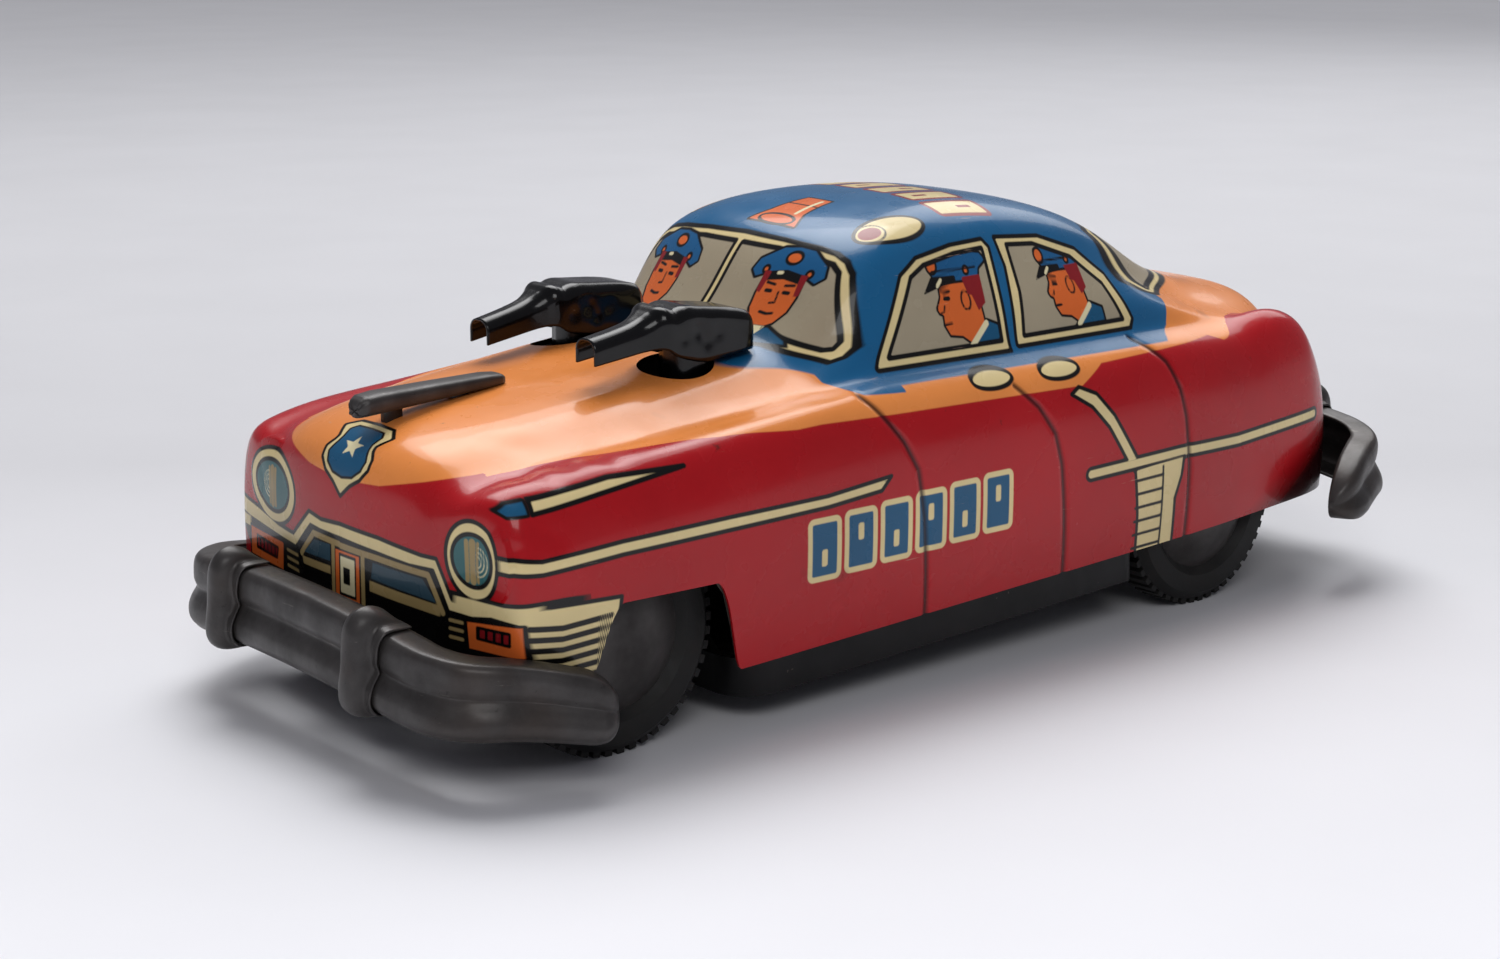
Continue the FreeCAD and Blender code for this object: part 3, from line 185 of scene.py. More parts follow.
def turnOutwards(points, faces):
    # A closed shape whose signed volume is negative has its faces reversed
    a, b, c, d = (points[faces[:, k]] for k in range(4))
    volume = np.einsum("ij,ij->i", a, np.cross(b, c)) + np.einsum("ij,ij->i", a, np.cross(c, d))
    return faces if volume.sum() > 0 else faces[:, ::-1]


def makePiece(name, points, faces, material, body, replaced=(), slot=None, fields=None, flat=False):
    # Millimetres above the ground become the frame's metres; fields are numbers kept at the points
    used = np.unique(faces)
    place = np.full(len(points), -1)
    place[used] = np.arange(len(used))
    points, faces = points[used], place[faces]
    mesh = bpy.data.meshes.new(name)
    mesh.vertices.add(len(points))
    mesh.vertices.foreach_set("co", ((points - (0, 0, groundDrop)) * millimetre).ravel())
    mesh.loops.add(faces.size)
    mesh.loops.foreach_set("vertex_index", faces.ravel())
    mesh.polygons.add(len(faces))
    mesh.polygons.foreach_set("loop_start", np.arange(0, faces.size, 4))
    mesh.polygons.foreach_set("use_smooth", np.full(len(faces), not flat))
    mesh.update(calc_edges=True)
    mesh.validate()
    for fieldName, values in (fields or {}).items():
        layer = mesh.attributes.new(fieldName, "FLOAT", "POINT")
        layer.data.foreach_set("value", values[used].astype(np.float32))
    mesh.materials.append(material)
    piece = bpy.data.objects.new(name, mesh)
    bpy.context.scene.collection.objects.link(piece)
    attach(piece, body)
    if replaced:
        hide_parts(*replaced)
    return piece


def smoothRows(rows, count):
    # Catmull-Rom curve through the rows, count steps from each row to the next
    rows = np.array(rows, float)
    padded = np.vstack([2 * rows[:1] - rows[1:2], rows, 2 * rows[-1:] - rows[-2:-1]])
    t = np.linspace(0, 1, count, endpoint=False)[:, None]
    spans = []
    for a, b, c, d in zip(padded, padded[1:], padded[2:], padded[3:]):
        spans.append(0.5 * (2 * b + (c - a) * t + (2 * a - 5 * b + 4 * c - d) * t ** 2
                            + (3 * b - a - 3 * c + d) * t ** 3))
    return np.vstack(spans + [rows[-1:]])


# Distances for the printed drawing are in millimetres, and negative inside a shape
def toLine(px, py, corners, half):
    # Nearest distance to a line through the corners, less half its width
    nearest = np.full(px.shape, np.inf)
    for (ax, ay), (bx, by) in zip(corners, corners[1:]):
        ex, ey, wx, wy = bx - ax, by - ay, px - ax, py - ay
        share = np.clip((wx * ex + wy * ey) / (ex * ex + ey * ey), 0, 1)
        nearest = np.minimum(nearest, np.hypot(wx - ex * share, wy - ey * share))
    return nearest - half


def toOutline(px, py, corners, grow=0.0):
    # Nearest distance to a closed outline, inside where a level ray crosses it an odd number of times;
    # grow moves the edge out and rounds its corners
    closed = corners + corners[:1]
    nearest = toLine(px, py, closed, 0.0)
    inside = np.zeros(px.shape, bool)
    for (ax, ay), (bx, by) in zip(closed, closed[1:]):
        crosses = (ay > py) != (by > py)
        inside ^= crosses & (px < ax + (py - ay) * (bx - ax) / ((by - ay) or 1e-9))
    return np.where(inside, -nearest, nearest) - grow


def toOval(px, py, centre, radii):
    # Distance to an ellipse, by its own equation over the length of that equation's slope
    dx, dy = (px - centre[0]) / radii[0], (py - centre[1]) / radii[1]
    k = np.hypot(dx, dy)
    slope = np.hypot(dx / radii[0], dy / radii[1])
    return k * (k - 1) / np.maximum(slope, 1e-6)


# The body: its values, each a height or half width over X unless said otherwise
body = {
    "halfWidth": 41.6, "floor": 8.0, "fold": 1.6,
    "deck": [(-101, 46), (-92, 53.6), (-66, 58.4), (34, 57.6), (60, 54.6), (92, 50.4), (99, 48.8),
        (104.5, 44.5)],
    "roof": [(-78, 56.5), (-64, 61.0), (-50, 68.8), (-36, 74.8), (-15, 78.2), (8, 77.9), (20, 75.2),
        (26, 70.5), (35, 58.0)],
    "crest": [(-101, 38), (-94, 44), (-86, 51.0), (-76, 52.8), (-66, 49.8), (-50, 50.8), (30, 51.0),
        (70, 47.0), (92, 45.8), (104.5, 42)],
    "width": [(-101, 36.0), (-80, 38.8), (-50, 41.6), (60, 42.2), (86, 41.2), (98, 40.4), (104.5, 39.5)],
    "cabin": [(-78, 0), (-62, 0.5), (-46, 1), (24, 1), (30, 0.72), (35.5, 0)],
    "lean": [(-60, 5.0), (-10, 3.4), (20, 0.2), (40, 0.0)],
    "valley": [(-101, 3.0), (-76, 3.6), (-64, 0.8), (-50, 0), (40, 0), (70, 0.6), (104, 1.0)],
    # X, share of the full section there, and how far the sides sweep back
    "stations": [(-100.6, 0.10, 0), (-100.6, 0.45, 0.6), (-100.4, 0.80, 4), (-98.5, 0.97, 7), (-91, 1, 4),
        (-84, 1, 0), (-76, 1, 0), (-67, 1, 0), (-56, 1, 0), (-44, 1, 0), (-30, 1, 0), (-12, 1, 0), (8, 1, 0),
        (18, 1, 2), (24, 1, 4), (29.5, 1, 4.8), (35, 1, 5), (39, 1, 4), (52, 1, 0), (70, 1, 0), (86, 1, 0),
        (97, 1, 2), (102.9, 1, 5.2), (104.2, 0.86, 5.8), (104.4, 0.45, 2), (104.4, 0.10, 0)],
    # lower edge: tail, rear wheel, front wheel opening and nose
    "sill": [(-130, 17.0), (-88.6, 17.0), (-47, 15.7), (57.6, 11.2), (61.0, 26.5), (81.6, 26.5), (85, 16),
        (130, 16)],
    "sillCorner": [0, 20, 20, 1.5, 4, 4, 1.5, 0],
    # holes for the guns' stems and the key: the axis they run along, middle across it and radius
    "holes": [(2, (49.6, 15.0), 6.3), (2, (49.6, -15.0), 6.3), (1, (-18.5, 31.5), 3.4)],
    "skew": 0.35,             # how much less the nose sweeps back on the right
    # pressed headlight caps: X, Y, height, radius and rise
    "headlights": [(98.6, 30.3, 33.9, 8.2, 1.3), (101.0, -25.0, 35.0, 8.2, 0.9)],
    "rows": 900, "cols": 500, "insideGrid": (190, 120), "holeMargin": 0.2,
    # trial rows, least height over the lower edge, and how much closer or wider the rows lie from X to X
    "trials": 1201, "margin": 0.15, "closer": [(-56, 36, 1.35), (-200, -60, 0.75)],
    # the skin is one grid cut across into pieces, and dented: X, Y, height, radius and depth
    "pieces": ["tailSkin", "bootSkin", "cabinSkin", "bonnetSkin", "noseSkin"],
    "dents": [(91.0, 29.9, 45.6, 2.6, 0.30), (96.0, 35.5, 43.6, 2.2, 0.28), (93.6, 39.3, 39.6, 2.0, 0.30),
        (91.4, 39.9, 38.2, 1.8, 0.25), (97.1, 38.9, 36.6, 1.7, 0.28), (101.4, 21.7, 41.4, 2.0, 0.16),
        (89.6, 19.6, 48.9, 2.6, 0.16), (86.2, 23.0, 48.3, 2.4, 0.18), (94.6, 16.5, 48.5, 2.6, 0.14),
        (84.5, 33.0, 46.6, 2.4, 0.30), (77.0, 35.0, 46.6, 2.6, 0.25), (88.0, 35.4, 45.4, 2.0, 0.3)],
}


def along(line, x):
    # Value over x, straight from each of the line's points to the next
    return np.interp(x, [p[0] for p in line], [p[1] for p in line])


def bodyNet():
    # Control points: each station's section, scaled by its share and swept back at the sides
    rows = []
    floor = body["floor"]
    for x, share, sweep in body["stations"]:
        wide, crest, deck, roof, cabin, lean, valley = (
            along(body[name], x) for name in ("width", "crest", "deck", "roof", "cabin", "lean", "valley"))
        side = [(wide - body["fold"], floor), (wide + 0.2, floor + 11.5),
                (wide + 0.5, 0.4 * floor + 0.6 * crest), (wide - 0.9, crest - 3.8), (wide - 4.8, crest + 0.6)]
        openTop = [(wide - 9.6, crest + 0.4), (wide - 12.2, crest + 0.8 - valley), (wide - 17, deck - 3.6),
                   (wide - 22, deck - 0.9), (9, deck), (0, deck)]
        cabinTop = [(wide - 9.6, crest + 1.3), (wide - 10.6, crest + 7), (wide - 12.8 - lean, roof - 8.5),
                    (wide - 15.8 - lean, roof - 2.6), (13, roof - 0.2), (0, roof)]
        half = np.vstack([side, (1 - cabin) * np.array(openTop) + cabin * np.array(cabinTop)])
        lengthwise = x - np.copysign(1, x) * sweep * (half[:, 0] / body["halfWidth"]) ** 2
        half = np.stack([lengthwise, half[:, 0] * share, floor + (half[:, 1] - floor) * share], 1)
        other = half[-2::-1] * (1, -1, 1)
        if x > 90:
            other[:, 0] += (x - other[:, 0]) * body["skew"]
        rows.append(np.vstack([half, other]))
    return np.array(rows)


def splineShares(count, at):
    # Cubic B-spline basis on even clamped knots, by the Cox-de Boor recursion
    degree = 3
    knots = np.concatenate([np.zeros(degree), np.linspace(0, 1, count - degree + 1), np.ones(degree)])
    at = np.clip(at, 0, 1 - 1e-9)
    shares = [((at >= low) & (at < high)).astype(float) for low, high in zip(knots, knots[1:])]
    for d in range(1, degree + 1):
        following = []
        for i in range(len(shares) - 1):
            rise, fall = knots[i + d] - knots[i], knots[i + d + 1] - knots[i + 1]
            value = np.zeros(np.shape(at))
            if rise > 0:
                value = value + (at - knots[i]) / rise * shares[i]
            if fall > 0:
                value = value + (knots[i + d + 1] - at) / fall * shares[i + 1]
            following.append(value)
        shares = following
    return np.stack(shares, -1)


def skinAt(u, v):
    # Point of the body's surface at the length share u and the round share v, one row of v for each u
    net = bodyNet()
    mixed = np.einsum("ir,rck->ick", splineShares(len(net), u), net)
    return np.einsum("ick,ijc->ijk", mixed, splineShares(net.shape[1], v))


def sillHeight(x):
    # Lower edge over X: straight runs whose corners are rounded by a running mean of their radius
    heights = along(body["sill"], x)
    for (cx, _), radius in zip(body["sill"], body["sillCorner"]):
        if radius:
            near = np.abs(x - cx) < radius
            shifts = np.linspace(-0.5, 0.5, 9)
            mean = np.mean([along(body["sill"], x + radius * shift * 0.8) for shift in shifts], 0)
            blend = np.clip(1 - np.abs(x - cx) / radius, 0, 1) ** 0.5
            heights = np.where(near, heights * (1 - blend) + mean * blend, heights)
    return heights


def evenShares(lengths, count):
    # Shares of a path at which equal parts of its summed lengths end
    total = np.concatenate([[0], np.cumsum(lengths)])
    return np.interp(np.linspace(0, total[-1], count), total, np.linspace(0, 1, len(total)))


def trimmedSkin(rows, cols):
    # The surface above the lower edge: each row starts and ends where it crosses that edge
    fine = np.linspace(0, 1, body["trials"])
    top = skinAt(fine, np.full((len(fine), 1), 0.5))[:, 0]
    above = fine[top[:, 2] > sillHeight(top[:, 0]) + body["margin"]]
    spread = np.linspace(above[0], above[-1], body["trials"])
    guide = skinAt(spread, np.broadcast_to(np.linspace(0.06, 0.5, 12), (len(spread), 12)))
    steps = np.linalg.norm(np.diff(guide, axis=0), axis=2).max(1)
    middle = guide[:-1, -1, 0]
    for first, last, share in body["closer"]:
        steps = steps * np.where((middle > first) & (middle < last), share, 1.0)
    u = above[0] + (above[-1] - above[0]) * evenShares(steps, rows)
    samples = np.linspace(0, 0.5, 260)
    path = skinAt(u, np.broadcast_to(samples, (rows, len(samples))))
    high = path[:, :, 2] - sillHeight(path[:, :, 0])
    first = np.clip(np.argmax(high > 0, 1), 1, len(samples) - 1)
    before, after = high[np.arange(rows), first - 1], high[np.arange(rows), first]
    start = samples[first - 1] + (samples[1] - samples[0]) * np.clip(-before / (after - before), 0, 1)
    start = np.minimum(start, 0.4995)
    section = skinAt(np.full(1, 0.55), np.linspace(0, 1, 800)[None])[0]
    across = evenShares(np.linalg.norm(np.diff(section, axis=0), axis=1), cols)
    v = start[:, None] + (1 - 2 * start[:, None]) * across[None]
    return skinAt(u, v)


def pressHeadlights(grid):
    # Each headlight's cap is a piece of a ball that stands proud of the nose
    for x, y, z, radius, rise in body["headlights"]:
        ball = (radius ** 2 + rise ** 2) / (2 * rise)
        away = np.hypot(grid[..., 1] - y, grid[..., 2] - z)
        cap = x + rise - ball + np.sqrt(np.maximum(ball ** 2 - away ** 2, 0))
        raised = (away < radius) & (grid[..., 0] > x - 6)
        grid[..., 0] = np.where(raised, np.maximum(grid[..., 0], cap), grid[..., 0])
    return grid


# pressed door lines on the side, as X and height
grooves = {
    "lines": [[(29, 50.5), (27, 48), (23, 43), (20.2, 38), (19, 30), (17.3, 11)], [(-4, 48.5), (-8.5, 44.5),
        (-12, 39.5), (-13.4, 34), (-14.6, 22), (-15.4, 12)], [(-38, 52), (-42, 48), (-44.4, 43), (-45.6, 38),
        (-46.6, 29), (-47, 14)]],
    "depth": 0.34, "width": 0.62, "from": 26,       # they show where the body is wider than this
}


def grooveDistance(x, y, z):
    # Distance to the nearest door line, on the sides only
    near = np.full(x.shape, farAway)
    for line in grooves["lines"]:
        near = np.minimum(near, toLine(x, z, line, 0.0))
    return np.where(np.abs(y) > grooves["from"], near, farAway)


def holeReach(points, axis, centre):
    # Steps from a hole's middle across its axis, their length, and whether the point is on the hole's side
    others = [k for k in range(3) if k != axis]
    offset = points[:, others] - np.array(centre)
    zone = points[:, 2] > 45 if axis == 2 else points[:, 1] < -20
    return others, offset, np.linalg.norm(offset, axis=1), zone


def cutHole(points, faces, normals, axis, centre, radius):
    # Faces inside the circle go, and the points left inside it slide along the skin onto the circle
    others, offset, away, zone = holeReach(points, axis, centre)
    inside = (away < radius) & zone
    faces = faces[~inside[faces].all(1)]
    move = np.zeros_like(points)
    share = radius / np.maximum(away, 1e-6) - 1
    move[:, others] = offset * share[:, None]
    steep = normals[:, axis]
    move[:, axis] = -(move[:, others] * normals[:, others]).sum(1) / np.where(np.abs(steep) < 0.2, 1, steep)
    return np.where(inside[:, None], points + move, points), faces


# The printed drawing. Shapes are sorted by the plane they are drawn on and their kind. Each has an ink, its
# points and its size: how far an outline grows, half a line's width, an oval's radii and a ring's half width.
# Points are X or Y and height, or X and Y on the roof; a mirrored plane has the distance from the middle.
profileFigure = {
    ("side", "outline"): [
        ("Ink", [(-8.4, -3.4), (-5.4, -2.2), (-1.4, -5.2), (1.4, -7.4), (-8.4, -7.4)], 0.0),
        ("Skin", [(3.3, 4.4), (3.5, 1.9), (4.6, 0.3), (4.2, -0.4), (3.5, -0.7), (3.6, -2.2), (2.7, -3.8),
            (0.2, -4.2), (-1.5, -5.4), (-5.0, -2.6), (-4.6, 4.4)], 0.1),
        ("Hair", [(-2.0, 4.4), (-2.6, 1.8), (-3.4, 1.6), (-4.2, -0.8), (-6.0, 0.2), (-6.2, 4.4)], 0.0),
        ("Cap", [(4.4, 5.6), (4.7, 7.6), (0.5, 8.7), (-7.4, 7.4), (-8.2, 6.4), (-6.2, 5.4), (-5.6, 3.9),
            (3.6, 4.1)], 0.2),
        ("Line", [(4.6, 4.9), (6.6, 2.8), (3.0, 3.5), (-0.6, 3.9), (-0.6, 4.7)], 0.1),
    ],
    ("side", "oval"): [
        ("Badge", (4.0, 6.7), (1.15, 1.3)),
        ("Badge", (-3.4, 5.3), (0.6, 0.6)),
        ("Line", (-1.9, 1.0), (0.95, 1.4, 0.2)),
    ],
    ("side", "line"): [
        ("Line", [(1.7, 1.6), (2.6, 1.7)], 0.36),
        ("Line", [(1.3, 2.7), (3.2, 2.8)], 0.26),
        ("Line", [(2.0, -2.0), (3.6, -2.1)], 0.24),
        ("Line", [(-5.6, 5.6), (4.2, 5.7)], 0.22),
        ("Line", [(2.9, 0.6), (3.2, -0.2), (3.9, -0.3)], 0.18),
        ("High", [(-5.2, -2.8), (-1.4, -5.8)], 0.5),
        ("High", [(2.6, 4.4), (3.6, 3.6)], 0.3),
    ],
}
frontFigure = {
    ("front", "outline"): [
        ("Ink", [(-8.2, -9.8), (-6.4, -7.6), (-2.2, -5.8), (2.2, -5.8), (6.4, -7.6), (8.2, -9.8)], 0.0),
        ("High", [(-1.5, -5.9), (1.5, -5.9), (0, -8.0)], 0.0),
    ],
    ("mirrored", "outline"): [
        ("Skin", [(-8, 2.6), (3.9, 2.6), (4.1, -1.0), (3.7, -3.4), (2.4, -5.3), (1.2, -5.9), (-8, -5.9)],
            0.15),
        ("Hair", [(3.1, 2.6), (4.3, 2.6), (4.2, -0.6), (3.5, -0.8)], 0.1),
        ("Cap", [(-1, 7.0), (3.0, 6.6), (6.6, 4.4), (7.2, 2.6), (6.0, 1.6), (4.2, 2.4), (-1, 3.4)], 0.25),
        ("Line", [(-1, 3.3), (4.0, 2.5), (3.8, 1.2), (-1, 1.9)], 0.1),
    ],
    ("front", "oval"): [
        ("Badge", (0, 5.2), (1.5, 1.0)),
    ],
    ("mirrored", "oval"): [
        ("Badge", (4.4, 2.9), (0.6, 0.6)),
    ],
    ("mirrored", "line"): [
        ("Line", [(1.3, -0.4), (2.3, -0.4)], 0.32),
        ("Line", [(1.0, 0.7), (2.8, 0.9)], 0.24),
    ],
    ("front", "line"): [
        ("Line", [(0.3, -0.4), (0.6, -2.1), (-0.4, -2.3)], 0.2),
        ("Line", [(-1.3, -3.8), (0.2, -4.0), (1.3, -3.8)], 0.24),
        ("High", [(-1.6, 2.6), (-0.8, 2.7)], 0.28),
    ],
}
figures = {
    "frontWide": 1.12, "sill": 57.0, "inset": 0.1,
    # pane behind which a figure sits, the middle of its head and its size
    "seated": [("frontPane", (0.6, 61.0), 1.1), ("rearPane", (-26.2, 60.9), 0.95)],
    "facing": [(14.6, 65.0), (-15.4, 64.6)], "facingSize": 0.94,
}

# the nose's drawing, unlike on its two halves, as distance from the middle and height
nose = {
    "left": {
        "lamp": (30.7, 34.0, 5.4, 6.1), "glass": (30.75, 34.05, 4.2, 4.05),
        "over": [(-8, 33.9), (0, 34.2), (10.2, 34.0), (20.2, 33.1), (23.3, 33.1), (26.2, 27.2), (29.7, 27.0),
            (35.2, 28.1), (41, 28.7)],
        "under": [(-8, 31.6), (0, 31.9), (10.2, 31.5), (17.5, 31.0), (22.5, 31.1), (25.4, 25.2), (30.2, 25.0),
            (35.2, 25.8), (41, 26.6)],
        "dark": 28.8, "inner": [(-8, 30.8), (10, 30.7), (21.4, 30.2), (24.2, 24.8)],
        "post": [(6.3, 30.6), (6.3, 18)], "panel": [(8.9, 29.8), (20.2, 29.4), (23.0, 26.1), (8.4, 27.2)],
        "bar": [(8.0, 26.8), (23.4, 25.8), (23.6, 24.1), (8.0, 25.1)],
        "stripes": (25.6, 28.2, (24.0, 22.7, 21.4)),
        "fog": [(29.0, 24.5), (39.8, 25.4), (39.9, 20.4), (29.4, 20.2)],
        "fogDark": [(31.2, 23.8), (37.6, 24.0), (37.6, 22.2), (31.2, 22.2)],
    },
    "right": {
        "lamp": (23.9, 35.5, 9.0, 6.1), "glass": (23.9, 35.6, 6.6, 4.2),
        "over": [(-8, 34.4), (0, 34.2), (5.8, 33.8), (9.9, 34.3), (15.8, 29.4), (22.0, 29.6), (30.0, 30.6),
            (41, 31.4)],
        "under": [(-8, 31.8), (0, 31.9), (6.2, 31.9), (9.4, 32.1), (14.9, 27.3), (20.0, 27.4), (33.6, 27.8),
            (41, 28.2)],
        "dark": 19.2, "inner": [(-8, 30.8), (8.4, 31.0), (12.9, 26.8)],
        "post": [(2.1, 30.6), (2.1, 18)], "panel": [(3.0, 30.3), (8.2, 30.0), (12.0, 27.2), (3.0, 27.6)],
        "bar": [(3.0, 26.8), (12.6, 26.4), (12.2, 25.2), (3.0, 25.5)],
        "stripes": (14.4, 18.6, (26.0, 24.7, 23.4)),
        "fog": [(20.0, 26.9), (34.6, 26.6), (34.8, 21.6), (20.6, 22.0)],
        "fogDark": [(22.6, 25.3), (31.8, 25.4), (32.0, 23.4), (23.2, 23.6)],
    },
    # half widths of the lines, the ribs' pitch, the lamp's rings and its upright bars
    "thin": 0.28, "line": 0.5, "ribs": 1.6, "ringHalf": 0.1, "ringShift": 1.2, "rings": (0.8, 1.5, 2.2),
    "lampBars": [(-1.2, 0.42), (0.0, 0.62), (1.1, 0.3)],
    # nested frames in the middle: ink, Y from and to, height from and to
    "centre": [("Badge", -1.5, 5.5, 19.0, 30.1), ("Line", -0.2, 4.4, 22.9, 29.5),
        ("High", 0.2, 4.0, 23.4, 29.0), ("Slot", 1.0, 2.7, 24.9, 27.4)],
    # over the bonnet's front edge, as distance from the middle and climb; the star's radii and middle
    "shield": [(-8, -1.6), (0, -1.5), (2.4, 0.6), (5.0, 2.2), (6.7, 4.4), (6.7, 6.6), (5.6, 8.4), (5.4, 9.4),
        (7.0, 12.2), (4.6, 14.2), (-8, 14.8)],
    "field": [(-8, 1.6), (0, 1.7), (2.8, 2.2), (4.8, 3.8), (5.4, 5.8), (4.4, 8.2), (4.2, 9.6), (4.6, 11.6),
        (3.6, 12.8), (-8, 13.4)],
    "star": (2.7, 1.1, 8.0),
    # climb is the height over the first value, and more for each millimetre behind the last
    "climb": (40.2, 0.75, 104),
}

printed = {
    # heights of the belt over X, and half widths of the orange bonnet and boot over X
    "belt": [(-80, 51), (-62.9, 50.9), (-49.6, 50.2), (-26, 49.6), (-19.6, 46.7), (6, 47.2), (39, 47.8),
        (67, 46.7)],
    "deck": [(-101, 24), (-85, 25), (-74, 26.5), (-69, 29), (-66, 32), (-63, 35.5), (-60, 37.5), (28, 39.6),
        (39, 38.4), (58, 37), (70.5, 33.4), (80.5, 29.6), (89, 27.7), (98, 25), (101, 20)],
    # heights of the orange's front and rear edges over the distance from the middle
    "noseEdge": [(0, 41.5), (5.2, 41.6), (10.2, 42.0), (14.7, 43.0), (19.3, 44.0), (24.7, 45.3),
        (28.4, 46.7)],
    "tailEdge": [(0, 33), (16, 35), (24, 44)],
    # blue: roof seen from the side, its lower edge, its rear end, the strip round the screen and its corner
    "roofSide": [(25, 51.2), (-45.5, 50.9), (-49.6, 52.8), (-52.9, 56.7), (-48.4, 60.6), (-44, 63.3),
        (-50, 90), (25, 90)],
    "roofEdge": 58.4, "roofEnd": -62.5, "strip": 2.0, "stripEdge": 50.5, "cornerEdge": 27.5,
    "corner": [(20, 50.6), (28, 51.0), (31.4, 52.4), (31.6, 60), (20, 60)],
    # windows
    "halfScreen": [(0, 72.4), (10, 72.1), (18, 71.5), (21.6, 70.9), (24.0, 69.9), (25.8, 68.2), (26.9, 66.0),
        (30.5, 57.2), (30.3, 55.9), (29.2, 55.2), (24, 56.2), (18, 57.4), (8, 58.8)],
    "rearScreen": [(-1, 70.2), (14, 69.6), (19.5, 68.3), (25.6, 60.2), (26, 58.6), (18, 59.6), (-1, 60.4)],
    "frontPane": [(18.3, 54.9), (10.2, 66.9), (6.6, 68.5), (-1.4, 69.6), (-8.6, 69.8), (-7.9, 54.8)],
    "rearPane": [(-15.2, 69.7), (-22, 69.2), (-31, 66.1), (-36.5, 61.2), (-38.5, 55.1), (-13.5, 55.0),
        (-15.0, 62)],
    # lines across the lower band of the nose and across the vent: their heights
    "bows": (24.4, 22.7, 21.0, 19.3, 17.6, 15.9), "slats": (28.4, 25.9, 23.4, 20.9, 18.4, 15.9),
    # six plain blocks on each side and across the roof, where the words were: first place, pitch, half sizes,
    # the slot's shift, half sizes and corner; on the side the row climbs towards the rear
    "sideBlocks": {"first": 40.9, "pitch": 7.75, "half": (2.3, 4.0), "shift": (0, 1.4), "slot": (0.3, 1.1),
        "corner": 0.3, "height": 28.1, "level": 44.5, "climb": 0.045},
    "roofBlocks": {"first": 18.2, "pitch": 7.3, "half": (5.2, 2.0), "shift": (1.8, 0), "slot": (1.4, 0.3),
        "corner": 0.2, "x": -9.5},
    # black shade at the tail's lower corner: its middle's X and height, and how it runs along both
    "shade": (-87.0, 29.5, 0.56, 0.83),
}

# The plain shapes by zone, plane and kind: frames and panes of the windows; trims, blade, vent, spear and its
# tip, lower band and handles on the sides; lamps and the siren between them on the roof
printedShapes = {
    ("glass", "side", "outline"): [
        ("Cream", [(21.4, 53.4), (20.6, 54.8), (12.5, 67.3), (8, 69.7), (-1, 70.9), (-9.2, 71.1),
            (-10.3, 69.8), (-9.2, 53.2)], 0.2),
        ("Cream", [(-12.7, 71.1), (-24, 70.2), (-33, 67.2), (-38.4, 62.5), (-40.1, 57.5), (-40.9, 54.9),
            (-39.8, 53.6), (-11.4, 53.6), (-13.3, 66.5)], 0.2),
        ("Pane", printed["frontPane"], 0.1),
        ("Pane", printed["rearPane"], 0.1),
    ],
    ("screen", "mirrored", "outline"): [
        ("Pane", [(0.9, 71.0), (10, 70.9), (18, 70.2), (22.2, 69.5), (24.0, 68.3), (28.7, 58.0), (28.4, 57.0),
            (27.2, 56.8), (22.5, 57.8), (16, 59.1), (8, 60.2), (0.9, 60.5)], 0.1),
    ],
    ("rear", "mirrored", "outline"): [
        ("Cream", printed["rearScreen"], 1.3),
        ("Pane", printed["rearScreen"], 0.0),
    ],
    ("side", "side", "outline"): [
        ("Cream", [(99.5, 35.6), (94, 34.9), (80, 35.9), (60, 36.5), (40, 36.8), (26.4, 38.0), (28.6, 35.9),
            (40, 35.0), (60, 34.5), (80, 33.9), (94, 32.9), (99.5, 33.2)], 0.0),
        ("Cream", [(-16.5, 45.6), (-18.6, 46.6), (-22.6, 45.0), (-26.6, 40.8), (-32.6, 32.0), (-30.0, 31.8),
            (-25.2, 38.8), (-21.2, 42.9)], 0.0),
        ("Cream", [(-31.4, 30.4), (-44.9, 31.4), (-44.3, 27.5), (-42.8, 23.5), (-43.2, 12.0), (-33.6, 12.0),
            (-33.0, 22), (-31.9, 29.8)], 0.0),
        ("Cream", [(94.2, 41.6), (94.0, 43.6), (80.5, 45.2), (66.8, 45.2), (82.6, 43.2)], 0.0),
        ("Ink", [(94.8, 41.6), (94.6, 43.5), (97.0, 43.1), (98.4, 42.2), (97.6, 41.4)], 0.1),
        ("Cream", [(101, 28.4), (93, 27.9), (80.6, 27.6), (80.8, 26.0), (84, 14), (97.4, 14), (98, 25.4),
            (101, 26.0)], 0.0),
    ],
    ("side", "side", "line"): [
        ("Cream", [(-20.5, 31.2), (-44, 31.8), (-60.7, 31.5), (-85.5, 32.6)], 1.05),
        ("Line", [(-39.2, 29.9), (-39.7, 12)], 0.26),
        ("Line", [(-32, 30.5), (-45, 31.0)], 0.24),
    ],
    ("side", "side", "oval"): [
        ("Cream", (0.4, 50.1), (4.6, 1.45)),
        ("Cream", (-15.6, 49.8), (4.6, 1.45)),
    ],
    ("roof", "roofMirrored", "oval"): [
        ("Cream", (9.6, 22.0), (7.4, 3.1)),
        ("Hair", (13.9, 22.0), (2.3, 1.5)),
        ("Line", (13.9, 22.0), (3.0, 2.2, 0.18)),
    ],
    ("roof", "roof", "outline"): [
        ("Badge", [(19.5, -2.6), (19.5, 9.2), (16, 7.4), (8.6, 6.3), (8.6, 0.4), (16, -0.8)], 0.3),
    ],
    ("roof", "roof", "oval"): [
        ("Line", (18.4, 3.3), (1.5, 4.2, 0.3)),
    ],
    ("roof", "roof", "line"): [
        ("High", [(16.0, 5.6), (9.6, 5.0)], 0.4),
        ("Line", [(12.4, -0.2), (12.4, 6.8)], 0.22),
    ],
}


